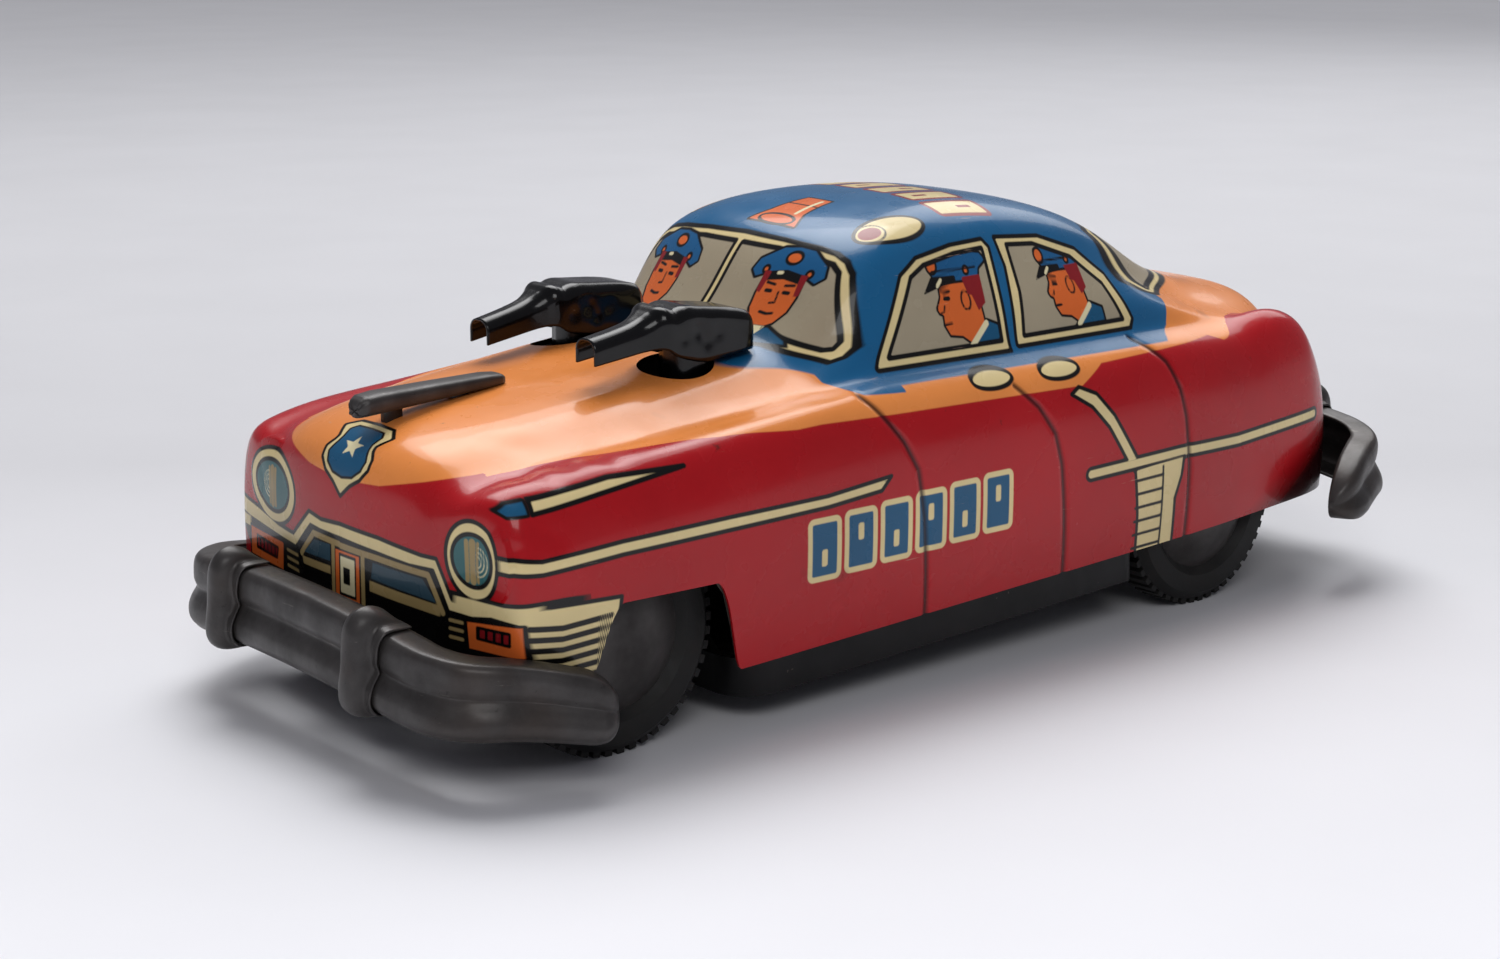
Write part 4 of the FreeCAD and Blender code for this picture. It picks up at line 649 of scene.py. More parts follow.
def shapeDistances(planes, shapes):
    # Ink and distance of each shape, and its zone where it has one
    for (*zone, plane, kind), rows in shapes.items():
        for ink, points, size in rows:
            if kind == "oval":
                distance = toOval(*planes[plane], points, size[:2])
                distance = np.abs(distance) - size[2] if len(size) > 2 else distance
            else:
                distance = {"outline": toOutline, "line": toLine}[kind](*planes[plane], points, size)
            yield ink, distance, *zone


def box(wide, high):
    # Corners of a rectangle from half its sizes
    return [(-wide, -high), (wide, -high), (wide, high), (-wide, high)]


def drawBlocks(draw, zone, ink, row, places):
    # A row of plain blocks, each with one slot in one or the other of its halves by turns
    for index, (px, py) in enumerate(places):
        across, up = (step if index % 2 else -step for step in row["shift"])
        slot = toOutline(px - across, py - up, box(*row["slot"]), row["corner"])
        draw(ink, zone, np.maximum(toOutline(px, py, box(*row["half"]), 0.3), -slot))


def drawFigures(draw, zones, x, y, z):
    # Each figure's shapes, moved to its place, enlarged and kept behind its window
    for pane, (across, up), size in figures["seated"]:
        planes = {"side": ((x - across) / size, (z - up) / size)}
        limit = toOutline(x, z, printed[pane]) + figures["inset"]
        for ink, distance in shapeDistances(planes, profileFigure):
            draw(ink, zones["glass"], np.maximum(distance * size, limit))
    size = figures["facingSize"]
    for across, up in figures["facing"]:
        py, pz = (y - across) / (figures["frontWide"] * size), (z - up) / size
        planes = {"front": (py, pz), "mirrored": (np.abs(py), pz)}
        for ink, distance in shapeDistances(planes, frontFigure):
            draw(ink, zones["screen"], np.maximum(distance * size, figures["sill"] - z))


def drawNose(draw, x, y, z):
    # Headlights, band, grille and fog lamps on each half, then the frames and the shield in the middle
    side = np.abs(y)
    onNose = x > 86
    for half, zone in ((nose["left"], onNose & (y >= 0)), (nose["right"], onNose & (y < 0))):
        for ink, name in (("Cream", "lamp"), ("Glass", "glass")):
            draw(ink, zone, toOval(side, z, half[name][:2], half[name][2:]))
        middle, height = half["glass"][:2]
        away = np.hypot(side - middle - nose["ringShift"], z - height)
        for ring in nose["rings"]:
            draw("High", zone & (side > middle + 1.0), np.abs(away - ring) - nose["ringHalf"])
        for shift, wide in nose["lampBars"]:
            bar = [(middle + shift, height - 3.1), (middle + shift, height + 2.8)]
            draw("Lamp", zone, toLine(side, z, bar, wide))
        draw("Cream", zone, toOutline(side, z, half["over"] + half["under"][::-1]))
        draw("Dark", zone, toOutline(side, z, half["under"] + [(half["dark"], 10), (-8, 10)]))
        for name in ("inner", "post"):
            draw("Lamp", zone, toLine(side, z, half[name], nose["line"]))
        draw("Slate", zone, toOutline(side, z, half["panel"]))
        draw("Lamp", zone, toOutline(side, z, half["bar"]))
        first, last, heights = half["stripes"]
        for height in heights:
            draw("Lamp", zone, toLine(side, z, [(first, height), (last, height)], nose["thin"]))
        draw("Badge", zone, toOutline(side, z, half["fog"], 0.1))
        draw("Line", zone, toOutline(side, z, half["fogDark"], 0.3))
        ribs = 0.3 - np.abs((side - half["fog"][0][0]) % nose["ribs"] - nose["ribs"] / 2)
        draw("Hair", zone, np.maximum(toOutline(side, z, half["fogDark"], -0.2), ribs))
    for ink, low, high, bottom, top in nose["centre"]:
        draw(ink, onNose, toOutline(y, z, [(low, bottom), (high, bottom), (high, top), (low, top)], 0.1))
    height, slope, front = nose["climb"]
    climb = (z - height) + slope * (front - x)
    for ink, name in (("Cream", "shield"), ("Ink", "field")):
        draw(ink, x > 88, toOutline(side, climb, nose[name]))
    point, notch, middle = nose["star"]
    turns, reach = np.arange(10) * math.pi / 5, [point, notch] * 5
    star = [(r * math.sin(turn), middle + r * math.cos(turn)) for r, turn in zip(reach, turns)]
    draw("High", x > 88, toOutline(y, climb, star))


def printFields(points, normals):
    # Distance in millimetres from every point of the skin to each ink's outlines
    x, y, z = points.T
    side = np.abs(y)
    inks = {name: np.full(x.shape, farAway) for name in [layer[0] for layer in printedTin["layers"]]}
    planes = {"side": (x, z), "mirrored": (side, z), "roof": (x, y), "roofMirrored": (x, side)}
    zones = {
        "side": (side > 24) & (x < 101) & (normals[:, 2] < 0.97), "glass": (side > 17) & (z > 51.5) & (x < 27),
        "screen": (x > 14) & (z > 52), "rear": (x < -38) & (z > 52), "roof": (normals[:, 2] > 0.35) & (z > 66),
    }

    def draw(ink, zone, distance):
        # the nearest shape counts, and only in its zone
        inks[ink] = np.where(zone, np.minimum(inks[ink], distance), inks[ink])

    # orange bonnet, belt and boot against the red sides: by height in the middle, by width at both ends
    plan = np.clip((x - 44) / 14, 0, 1) + np.clip((-57 - x) / 5, 0, 1)
    orange = (along(printed["belt"], x) - z) * (1 - plan) + (side - along(printed["deck"], x)) * plan
    for name, zone in (("noseEdge", x > 94), ("tailEdge", x < -90)):
        orange = np.maximum(orange, np.where(zone, along(printed[name], side) - z, -farAway))
    draw("Orange", True, orange)
    # blue roof, its rear end and the strip round the windscreen
    screen = printed["halfScreen"] + [(-across, up) for across, up in printed["halfScreen"][:0:-1]]
    draw("Blue", side > 15, toOutline(x, z, printed["roofSide"]))
    draw("Blue", (x < 24) & (z > 56), np.maximum(printed["roofEdge"] - z, (printed["roofEnd"] - x) * 0.7))
    draw("Blue", x > 8, np.maximum(toOutline(y, z, screen, printed["strip"]), printed["stripEdge"] - z))
    draw("Blue", side > 20, np.maximum(toOutline(x, z, printed["corner"], 0.3), printed["cornerEdge"] - side))
    draw("Cream", zones["screen"], toOutline(y, z, screen, 0.2))
    for ink, distance, zone in shapeDistances(planes, printedShapes):
        draw(ink, zones[zone], distance)
    for height in printed["bows"]:
        bow = [(82.4, height + 0.6), (91, height), (96.4, height + 0.6)]
        draw("Line", zones["side"] & (x > 80), toLine(x, z, bow, 0.46))
    for height in printed["slats"]:
        draw("Line", zones["side"], toLine(x, z, [(-32.3, height - 0.2), (-39.3, height)], 0.28))
    row, steps = printed["sideBlocks"], np.arange(6)
    drawBlocks(draw, zones["side"], "Block", row, [
        (x - place, z - row["height"] - (row["level"] - place) * row["climb"])
        for place in row["first"] - row["pitch"] * steps])
    row = printed["roofBlocks"]
    drawBlocks(draw, zones["roof"], "RoofBlock", row, [
        (x - row["x"], y - row["first"] + step) for step in row["pitch"] * steps])
    drawFigures(draw, zones, x, y, z)
    drawNose(draw, x, y, z)
    inks["Groove"] = grooveDistance(x, y, z)
    middle, height, lengthwise, upwards = printed["shade"]
    inks["Shade"] = np.where(x < -60, (x - middle) * lengthwise + (z - height) * upwards, farAway)
    return {"print" + name: values for name, values in inks.items()}


inkColours = {
    "red": "#AE1019", "orange": "#EB8F48", "blue": "#175F8E", "cream": "#E3CF98", "pane": "#A89C84",
    "black": "#0B0A0A", "ink": "#17557A", "skin": "#DE6A2E", "hair": "#8A1A20", "cap": "#1A5B8C",
    "lamp": "#A08A5C", "glass": "#35676A", "slate": "#2B4654", "high": "#EADFB4", "rust": "#3A1C12",
    "doorLineDark": "#1E0709", "scratch": "#C8A890",
}
printedTin = {
    "gloss": 0.18, "coat": 0.28, "peel": 0.012, "dents": 0.5, "softness": 0.11,
    # ink, half width of its black outline (none: no outline), its colour
    "layers": [("Orange", None, "orange"), ("Blue", None, "blue"), ("Block", (0.95, "cream"), "ink"),
        ("RoofBlock", (0.9, "hair"), "cream"), ("Dark", None, "black"), ("Cream", (0.36, "black"), "cream"),
        ("Pane", (0.4, "black"), "pane"), ("Ink", (0.24, "black"), "ink"), ("Skin", (0.22, "black"), "skin"),
        ("Cap", (0.22, "black"), "cap"), ("Badge", (0.24, "black"), "skin"),
        ("Glass", (0.36, "black"), "glass"), ("Lamp", None, "lamp"), ("Slate", None, "slate"),
        ("Line", None, "black"), ("Hair", None, "hair"), ("High", None, "high"), ("Slot", None, "black")],
}


def printedTinMaterial():
    # Printed tinplate: flat inks laid one over another under a clear lacquer, with small wear
    material, tree, shader, place = startMaterial("printedTinplate", {
        "Coat Weight": printedTin["coat"], "Coat Roughness": 0.06, "Specular IOR Level": 0.2})
    soft = printedTin["softness"]

    def mask(ink, edge):
        # 1 inside the ink's outline moved in or out to the edge, 0 outside, soft between
        value = addNode(tree, "ShaderNodeAttribute", {"attribute_name": "print" + ink}).outputs["Fac"]
        return remap(tree, value, edge - soft, edge + soft, 1.0, 0.0)
    paint = linearColour(inkColours["red"])
    for ink, outline, colour in printedTin["layers"]:
        if outline:
            paint = mixColours(tree, mask(ink, outline[0]), paint, linearColour(inkColours[outline[1]]))
        inner = 0.0 if not outline or outline[0] > 0.5 else -outline[0]
        paint = mixColours(tree, mask(ink, inner), paint, linearColour(inkColours[colour]))
    # uneven ink, then dark specks and blots, a darker colour painted along the door lines, the tail's shade and
    # pale scratches
    cloud = remap(tree, noise(tree, place, 26, 4), 0.3, 0.7, 0.90, 1.08)
    paint = mixColours(tree, 1.0, paint, addNode(tree, "ShaderNodeCombineColor", links={
        "Red": cloud, "Green": cloud, "Blue": cloud}).outputs[0], "MULTIPLY")
    paint = addSpots(tree, place, paint, inkColours["rust"], 3.4, 0.735, 0.79, 0.75, 3, 0.62)
    paint = addSpots(tree, place, paint, inkColours["rust"], 11, 0.74, 0.82, 0.45, 2, 0.4)
    # the colour is painted darker along the door lines, nearly black over most of their width
    groove = addNode(tree, "ShaderNodeAttribute", {"attribute_name": "printGroove"}).outputs["Fac"]
    doorLineDark = remap(tree, groove, 0.12, 0.75, 0.85, 0.0)
    paint = mixColours(tree, doorLineDark, paint, linearColour(inkColours["doorLineDark"]))
    shade = addNode(tree, "ShaderNodeAttribute", {"attribute_name": "printShade"}).outputs["Fac"]
    shade = remap(tree, shade, -5.0, 2.0, 0.95, 0.0)
    paint = mixColours(tree, shade, paint, linearColour(inkColours["black"]))
    paint = addSpots(tree, place, paint, inkColours["scratch"], 5.0, 0.70, 0.735, 0.35, 5, 0.65,
                     (0.35, 1.0, 6.0))
    tree.links.new(paint, shader.inputs["Base Color"])
    gloss = printedTin["gloss"]
    rough = remap(tree, noise(tree, place, 9, 4), 0.3, 0.75, gloss, gloss + 0.2)
    tree.links.new(rough, shader.inputs["Roughness"])
    dents = addBump(tree, shader, noise(tree, place, 26, 1.0), printedTin["dents"], 0.25)
    addBump(tree, shader, noise(tree, place, 0.8, 2), printedTin["peel"], 0.5, dents)
    return material


# what the shiny and the dull enamel share
enamel = {
    "tones": ("#050506", "#17161A"), "patch": (10, 5, 0.65, 0.45, 0.8, 0.4),
    "spots": [("#5A5149", 1.6, 0.72, 0.76, 0.7)], "relief": [(4, 1, 0.25, 0.3), (0.5, 2, 0.012, 0.5)],
}
# Finishes of everything else. Patch: noise size in millimetres, detail, roughness, the range that is remapped
# and the second tone's share; spots: colour, size, range, share and any detail, roughness and stretch; rough:
# range of the patch, or noise of its own and its range, then the roughness; relief: noise, depth and strength.
finishes = {
    # unprinted inner face: dull grey with a little tarnish
    "bareTinplateInside": {
        "surface": {"Metallic": 0.85}, "tones": ("#6E6A64", "#3A332C"), "patch": (8, 4, 0.6, 0.35, 0.7, 1.0),
        "rough": (0, 1, 0.42, 0.7), "relief": [(1.5, 3, 0.03, 0.4)]},
    # old dark nickelled tin: brown-grey film, brown patches, small pits and pale scratches
    "tarnishedTin": {
        "surface": {"Metallic": 0.3, "Coat Weight": 0.12, "Coat Roughness": 0.22, "Specular IOR Level": 0.4},
        "tones": ("#444140", "#2D2A29"), "patch": (7, 5, 0.62, 0.32, 0.7, 1.0),
        "spots": [("#3B2D23", 16, 0.5, 0.72, 0.5, 3, 0.5), ("#171310", 1.2, 0.66, 0.74, 0.55),
            ("#8C877F", 3.0, 0.68, 0.74, 0.4, 4, 0.6, (1, 0.3, 4))],
        "rough": (0, 1, 0.36, 0.55), "relief": [(6, 2, 0.25, 0.3), (0.7, 3, 0.025, 0.5)]},
    # black enamel, shiny on the guns and dull on the tray: fine dust, worn spots and a slight orange peel
    "glossyBlackEnamel": {
        "surface": {"Coat Weight": 0.25, "Coat Roughness": 0.05, "Specular IOR Level": 0.22}, **enamel,
        "rough": (6, 4, 0.3, 0.75, 0.14, 0.32)},
    "blackEnamelTray": {
        "surface": {"Coat Weight": 0.1, "Coat Roughness": 0.05, "Specular IOR Level": 0.22}, **enamel,
        "rough": (6, 4, 0.3, 0.75, 0.36, 0.54)},
    # black rubber with a grey bloom of road dust
    "blackRubber": {
        "surface": {"Specular IOR Level": 0.35}, "tones": ("#0E0E0E", "#282624"),
        "patch": (5, 5, 0.65, 0.38, 0.75, 0.8),
        "rough": (0, 0.8, 0.55, 0.82), "relief": [(0.6, 4, 0.05, 0.6)]},
}
# metals in two tones with fine pits: first and second tone, metallic, roughness and size of the patches
metals = {
    "platedSteel": ("#8E8C88", "#5B5650", 0.9, 0.34, 5),
    "bluedSpringSteel": ("#3A4250", "#22262E", 0.9, 0.28, 4),
    "gearBrass": ("#B88A3C", "#7A5A28", 0.95, 0.3, 4),
    "nickelledKey": ("#9C968C", "#5E5850", 0.85, 0.32, 4),
    "hubTinplate": ("#4B4847", "#322F2E", 0.5, 0.42, 12),
}
for name, (first, second, metallic, roughness, size) in metals.items():
    finishes[name] = {
        "surface": {"Metallic": metallic}, "tones": (first, second), "patch": (size, 4, 0.6, 0.35, 0.68, 1.0),
        "spots": [("#1D1712", 0.8, 0.68, 0.76, 0.6)], "rough": (0, 1, roughness, roughness + 0.2),
        "relief": [(0.5, 3, 0.02, 0.5)]}


def layeredMaterial(name):
    # Two tones in soft patches with spots on them; the roughness follows the patches or a noise of its own
    finish = finishes[name]
    material, tree, shader, place = startMaterial(name, finish["surface"])
    size, detail, softness, low, high, share = finish["patch"]
    patch = remap(tree, noise(tree, place, size, detail, softness), low, high, 0.0, share)
    colour = mixColours(tree, patch, *(linearColour(code) for code in finish["tones"]))
    for spots in finish.get("spots", ()):
        colour = addSpots(tree, place, colour, *spots)
    tree.links.new(colour, shader.inputs["Base Color"])
    *grain, low, high, least, most = finish["rough"]
    source = noise(tree, place, *grain) if grain else patch
    tree.links.new(remap(tree, source, low, high, least, most), shader.inputs["Roughness"])
    below = None
    for *grain, depth, strength in finish["relief"]:
        below = addBump(tree, shader, noise(tree, place, *grain), depth, strength, below)
    return material


def makeBody():
    # The trimmed skin, pressed in along the door lines and at the dents, pierced and cut into pieces
    material = printedTinMaterial()
    rows, cols = body["rows"], body["cols"]
    grid = pressHeadlights(trimmedSkin(rows, cols))
    normals = -gridNormals(grid)
    depth = grooves["depth"] * np.exp(-(grooveDistance(*np.moveaxis(grid, -1, 0)) / grooves["width"]) ** 2)
    for x, y, z, radius, dent in body["dents"]:
        depth = depth + dent * np.exp(-((grid - (x, y, z)) ** 2).sum(-1) / radius ** 2)
    grid = grid - normals * depth[..., None]
    points, flatNormals = grid.reshape(-1, 3), normals.reshape(-1, 3)
    faces = gridFaces(rows, cols)[:, ::-1]
    for hole in body["holes"]:
        points, faces = cutHole(points, faces, flatNormals, *hole)
    fields = printFields(points, flatNormals)
    # the cut lower edge: a narrow strip turned in by the sheet's thickness
    edge = np.stack([grid[:, 0], grid[:, 0] - normals[:, 0] * tin], 1)
    otherEdge = np.stack([grid[:, -1] - normals[:, -1] * tin, grid[:, -1]], 1)
    cuts = np.linspace(0, rows - 1, len(body["pieces"]) + 1).astype(int)
    faceRow = faces.min(1) // cols
    for name, first, last in zip(body["pieces"], cuts, cuts[1:]):
        parts = [(points, faces[(faceRow >= first) & (faceRow < last)])]
        for strip in (edge[first:last + 1], otherEdge[first:last + 1]):
            parts.append((strip.reshape(-1, 3), gridFaces(*strip.shape[:2])))
        allPoints, allFaces = joinMeshes(parts)
        bare = np.full(len(allPoints) - len(points), farAway)
        makePiece(name, allPoints, allFaces, material, "frame", ("body_shell",), "litho_tin",
                  {field: np.concatenate([values, bare]) for field, values in fields.items()})


def makeBodyInside():
    # A coarser skin moved in by the sheet and the grooves' depth, without the faces that touch a hole
    grid = pressHeadlights(trimmedSkin(*body["insideGrid"]))
    normals = -gridNormals(grid)
    inside = grid - normals * (tin + grooves["depth"])
    points = inside.reshape(-1, 3)
    faces = gridFaces(*inside.shape[:2])
    for axis, centre, radius in body["holes"]:
        away, zone = holeReach(points, axis, centre)[2:]
        cut = (away < radius + body["holeMargin"]) & zone
        faces = faces[~cut[faces].any(1)]
    makePiece("bodyInside", points, faces, layeredMaterial("bareTinplateInside"), "frame", (), "litho_tin")


makeBody()
print("body skin made")
makeBodyInside()
print("body inside made")


# Bumpers and their guards
bumper = {
    "half": 30.0, "plane": 108.0, "bow": 1.0, "bend": 9.0, "wing": 18.6, "wingAngle": 24.0,
    "droop": 3.3, "tip": (5.6, 3.2), "middle": 18.8,
    "sag": (2.7, 38.2), "slope": 0.013,           # fall at that distance from the middle, fall towards the left
    "tall": [(0, 1.0), (30, 1.0), (56, 0.84)],    # share of the full height over the distance along the bar
    # section from its upper rear edge to the lower one, as outward and up: a shallow groove between two lobes
    "section": [(0, 6.2), (3.6, 6.2), (4.8, 5.6), (5.3, 4.4), (5.45, 3.0), (5.4, 1.8), (5.1, 0.9),
        (4.95, 0.4), (5.25, -0.4), (5.9, -1.6), (6.35, -3.0), (6.3, -4.6), (5.6, -5.7), (4.6, -6.2),
        (0, -6.2)],
    # dents: place along the bar, height from the groove, radius and depth
    "dents": [(33.0, 3.2, 2.6, 0.5), (36.0, -2.0, 2.2, 0.45), (30.5, -3.4, 2.8, 0.4), (39.0, 1.6, 2.0, 0.3),
        (11.0, 2.2, 3.4, 0.14), (-14.0, -2.4, 4.0, 0.16), (-36.0, 2.6, 2.6, 0.3), (-9.0, 2.6, 3.0, 0.12),
        (47.0, 0.5, 3.0, 0.2), (3.0, 5.6, 2.4, 0.2), (24.5, 5.4, 2.0, 0.25)],
    # how the rear bar sits, closer in, higher and tilted, and its shorter wings
    "rear": {"shift": 5.0, "rise": 5.3, "tilt": 4.0, "wing": 15.6, "tip": (9.5, 8.0)},
    # upright bead draped over the bar with a flange on each side
    "guard": {"y": 20.6, "half": 4.2, "foot": 3.1, "round": 2.4, "lean": 0.06, "gap": 0.3, "sheet": 0.26,
        "bead": [(0.6, 6.9), (2.6, 8.6), (4.8, 9.3), (6.8, 8.8), (8.1, 7.1), (8.5, 4.5), (8.6, 0.5),
        (8.9, -3.5), (8.5, -5.8), (7.0, -7.1), (4.8, -7.3), (2.0, -6.8), (0.4, -6.75)]},
}


def barSection():
    # Smooth section of the bar from its lower rear edge over the front to its upper one
    return smoothRows(bumper["section"][::-1], 5)


def offsetLine(line, distance):
    # Every point moved along the line's own normal, which points out of the bar
    step = np.gradient(line, axis=0)
    normal = np.column_stack([step[:, 1], -step[:, 0]]) / np.linalg.norm(step, axis=1)[:, None]
    return line + normal * distance


def evenLine(line, count):
    # The same line with its points at equal steps
    length = np.concatenate([[0], np.cumsum(np.linalg.norm(np.diff(line, axis=0), axis=1))])
    at = np.linspace(0, length[-1], count)
    return np.column_stack([np.interp(at, length, column) for column in line.T])


def barFall(y):
    # How far the bar hangs below its middle: a parabola, held beyond its last point, and a slope
    depth, reach = bumper["sag"]
    return depth * (np.minimum(np.abs(y), reach) / reach) ** 2 + bumper["slope"] * y


def barPath(count, wingLength):
    # Whole path of the bar at its rear edge: bowed middle, round corners, straight drooping wings
    share = np.linspace(0, 1, 60)
    middle = np.stack([bumper["plane"] - bumper["bow"] * share ** 2, bumper["half"] * share, 0 * share], 1)
    turn = np.radians(90 - bumper["wingAngle"]) * share[1:]
    corner = middle[-1] + np.stack([bumper["bend"] * (np.cos(turn) - 1), bumper["bend"] * np.sin(turn),
                                    0 * turn], 1)
    outward = np.array([math.cos(turn[-1]), math.sin(turn[-1]), 0])
    back = np.array([-outward[1], outward[0], 0])
    wing = corner[-1] + share[1:, None] * back * wingLength
    wing[:, 2] = -bumper["droop"] * share[1:] ** 1.3
    half = np.vstack([middle, corner, wing])
    ways = np.vstack([np.tile([1.0, 0, 0], (60, 1)),
                      np.stack([np.cos(turn), np.sin(turn), 0 * turn], 1), np.tile(outward, (59, 1))])
    path = np.vstack([half[:0:-1] * (1, -1, 1), half])
    ways = np.vstack([ways[:0:-1] * (1, -1, 1), ways])
    length = np.concatenate([[0], np.cumsum(np.linalg.norm(np.diff(path, axis=0), axis=1))])
    # closer rows at both tips, where the corners are rounded
    even = np.linspace(0, 1, count)
    at = length[-1] * (even - 0.045 * np.sin(2 * np.pi * even) * np.abs(np.cos(np.pi * even)))
    pick = [np.interp(at, length, column) for column in np.vstack([path.T, ways.T])]
    return at - length[-1] / 2, length[-1] / 2, np.stack(pick[:3], 1), np.stack(pick[3:], 1)


def barGrid(wingLength, tip, count=520):
    # The section carried along the path, lower towards each tip, where it rounds in over the
    # first length and closes over the second
    at, end, path, ways = barPath(count, wingLength)
    section = barSection()
    (radius, closed), half = tip, section[:, 1].max()
    left = np.clip(end - np.abs(at), 0, radius)
    rounded = min(radius, half) * (1 - np.sqrt(1 - (1 - left / radius) ** 2))
    tall = (1 - rounded / half) * along(bumper["tall"], np.abs(at))
    closing = np.clip(left / closed, 0.0, 1)
    deep = np.sqrt(1 - (1 - closing) ** 2) * (0.5 + 0.5 * along(bumper["tall"], np.abs(at)))
    up = section[None, :, 1] * tall[:, None]
    out = section[None, :, 0] * deep[:, None]
    for place, height, size, depth in bumper["dents"]:
        near = np.exp(-((at[:, None] - place) ** 2 + (up - height) ** 2) / size ** 2)
        out = out - depth * near * (out > 0.5)
    grid = path[:, None] + ways[:, None] * out[..., None]
    grid[..., 2] += up + bumper["middle"] - barFall(path[:, 1])[:, None]
    return grid


def guardMeshes(side):
    # One pressed sheet: flanges that hug the bar and an upright half-round bead between them
    size = bumper["guard"]
    hug = evenLine(offsetLine(barSection(), size["gap"]), 96)
    bead = evenLine(smoothRows(size["bead"][::-1], 8), 96)
    across = np.linspace(-1, 1, 49)
    across = (0.55 * across + 0.45 * across ** 3) * size["half"]
    bulge = np.clip(1 - np.abs(across / size["round"]) ** 2.4, 0, 1) ** (1 / 2.4)
    foot = 0.1 * np.exp(-((np.abs(across) - size["round"]) / 0.5) ** 2)
    outward = np.maximum(bulge, foot)[:, None]
    rise = (0.55 * bulge + 0.45 * (1 - np.abs(across) / size["half"]))[:, None]
    # under the bead the groove is bridged, so that the bead rises straight
    level = np.where(np.abs(hug[:, 1]) < 3.6, np.maximum(hug[:, 0], 6.1 - 0.1 * hug[:, 1]), hug[:, 0])
    under = np.where(np.abs(across)[:, None] < size["round"] + 0.3, level, hug[:, 0])
    reach = under * (1 - outward) + bead[None, :, 0] * outward
    height = hug[None, :, 1] * (1 - rise) + bead[None, :, 1] * rise
    # the flange is narrower below than above, and its edge a little worn
    tall = np.clip((height + 6.5) / 13, 0, 1)
    narrow = (size["foot"] + (size["half"] - size["foot"]) * tall) / size["half"]
    narrow = narrow + 0.02 * np.sin(height * 2.1 + side)
    beyond = np.sign(across) * np.maximum(np.abs(across) - size["round"], 0)
    y = side * size["y"] + (across - beyond)[:, None] + beyond[:, None] * narrow + size["lean"] * height
    edge = bumper["plane"] - bumper["bow"] * (y / bumper["half"]) ** 2
    grid = np.stack([edge + reach, y, bumper["middle"] + height - barFall(y)], -1)
    return sheetMesh(grid[::-1], size["sheet"])


def atRear(points):
    # Turned about the bar's middle so that its face looks up, moved closer and higher, then mirrored
    rear = bumper["rear"]
    turn = math.radians(rear["tilt"])
    x, z = points[:, 0] - bumper["plane"], points[:, 2] - bumper["middle"]
    reach = bumper["plane"] - rear["shift"] + x * math.cos(turn) - z * math.sin(turn)
    height = bumper["middle"] + rear["rise"] + x * math.sin(turn) + z * math.cos(turn)
    return np.column_stack([-reach, points[:, 1], height])


def makeBumpers(material):
    # A bar and two guards at the front, and the same again at the rear
    for end, size in (("front", bumper), ("rear", bumper["rear"])):
        meshes = [("Bumper", "bumper", sheetMesh(barGrid(size["wing"], size["tip"]), tin))]
        for name, side in (("left", 1), ("right", -1)):
            meshes.append((name.capitalize() + "Guard", name + "_overrider", guardMeshes(side)))
        for name, node, (points, faces) in meshes:
            placed = points if end == "front" else atRear(points)
            makePiece(end + name, placed, turnOutwards(placed, faces), material, "frame",
                      (end + "_" + node,), "grey_tin")


# Guns
gun = {
    "y": 15.0, "sheet": 0.45,
    # X, half width, underside, top and corner radius, from the muzzle back to the breech's rear wall
    "stations": [(67.5, 2.2, 57.2, 60.9, 1.7), (62.0, 2.3, 57.9, 61.9, 1.7), (58.5, 2.6, 58.4, 62.8, 1.9),
        (56.2, 3.4, 58.7, 64.0, 2.2), (54.6, 4.4, 58.6, 64.9, 2.2), (52.8, 4.6, 57.4, 64.4, 1.9),
        (50.6, 4.7, 56.6, 64.8, 1.7), (47.4, 4.7, 56.0, 64.4, 1.5), (42.0, 4.7, 56.5, 63.7, 1.4),
        (38.2, 4.6, 56.9, 62.9, 1.4), (37.0, 3.9, 57.0, 61.9, 1.3)],
    "stem": (47.4, 5.0, 4.6, 33.0),      # X, length, width and foot height of the sheet stem
    "dip": {1: 0.0, -1: 0.05},           # fall of each gun's line towards the muzzle, left and right
    "wallSteps": 9, "endSteps": 9, "endRound": 0.5,
    # small dents: X, place across (-1 right, 1 left), height, radius and depth
    "dents": [(48.5, 1, 61.2, 1.5, 0.35), (44.5, 1, 60.6, 1.3, 0.25), (51.5, 1, 60.2, 1.1, 0.2),
        (46.8, 1, 59.2, 1.2, 0.3), (41.5, -1, 61.0, 1.6, 0.2)],
}


def gunSection(half, low, high, corner):
    # Flat sides, rounded upper corners, open below: from the right foot over the top to the left one
    steps = gun["wallSteps"]
    side = np.linspace(low, high - corner, steps, endpoint=False)
    angle = np.linspace(np.pi, np.pi / 2, steps)
    right = np.vstack([np.column_stack([np.full(steps, -half), side]),
                       np.column_stack([corner - half + corner * np.cos(angle),
                                        high - corner + corner * np.sin(angle)])])
    middle = np.column_stack([np.linspace(corner - half, half - corner, steps + 2)[1:-1], np.full(steps, high)])
    return np.vstack([right, middle, right[::-1] * (-1, 1)])


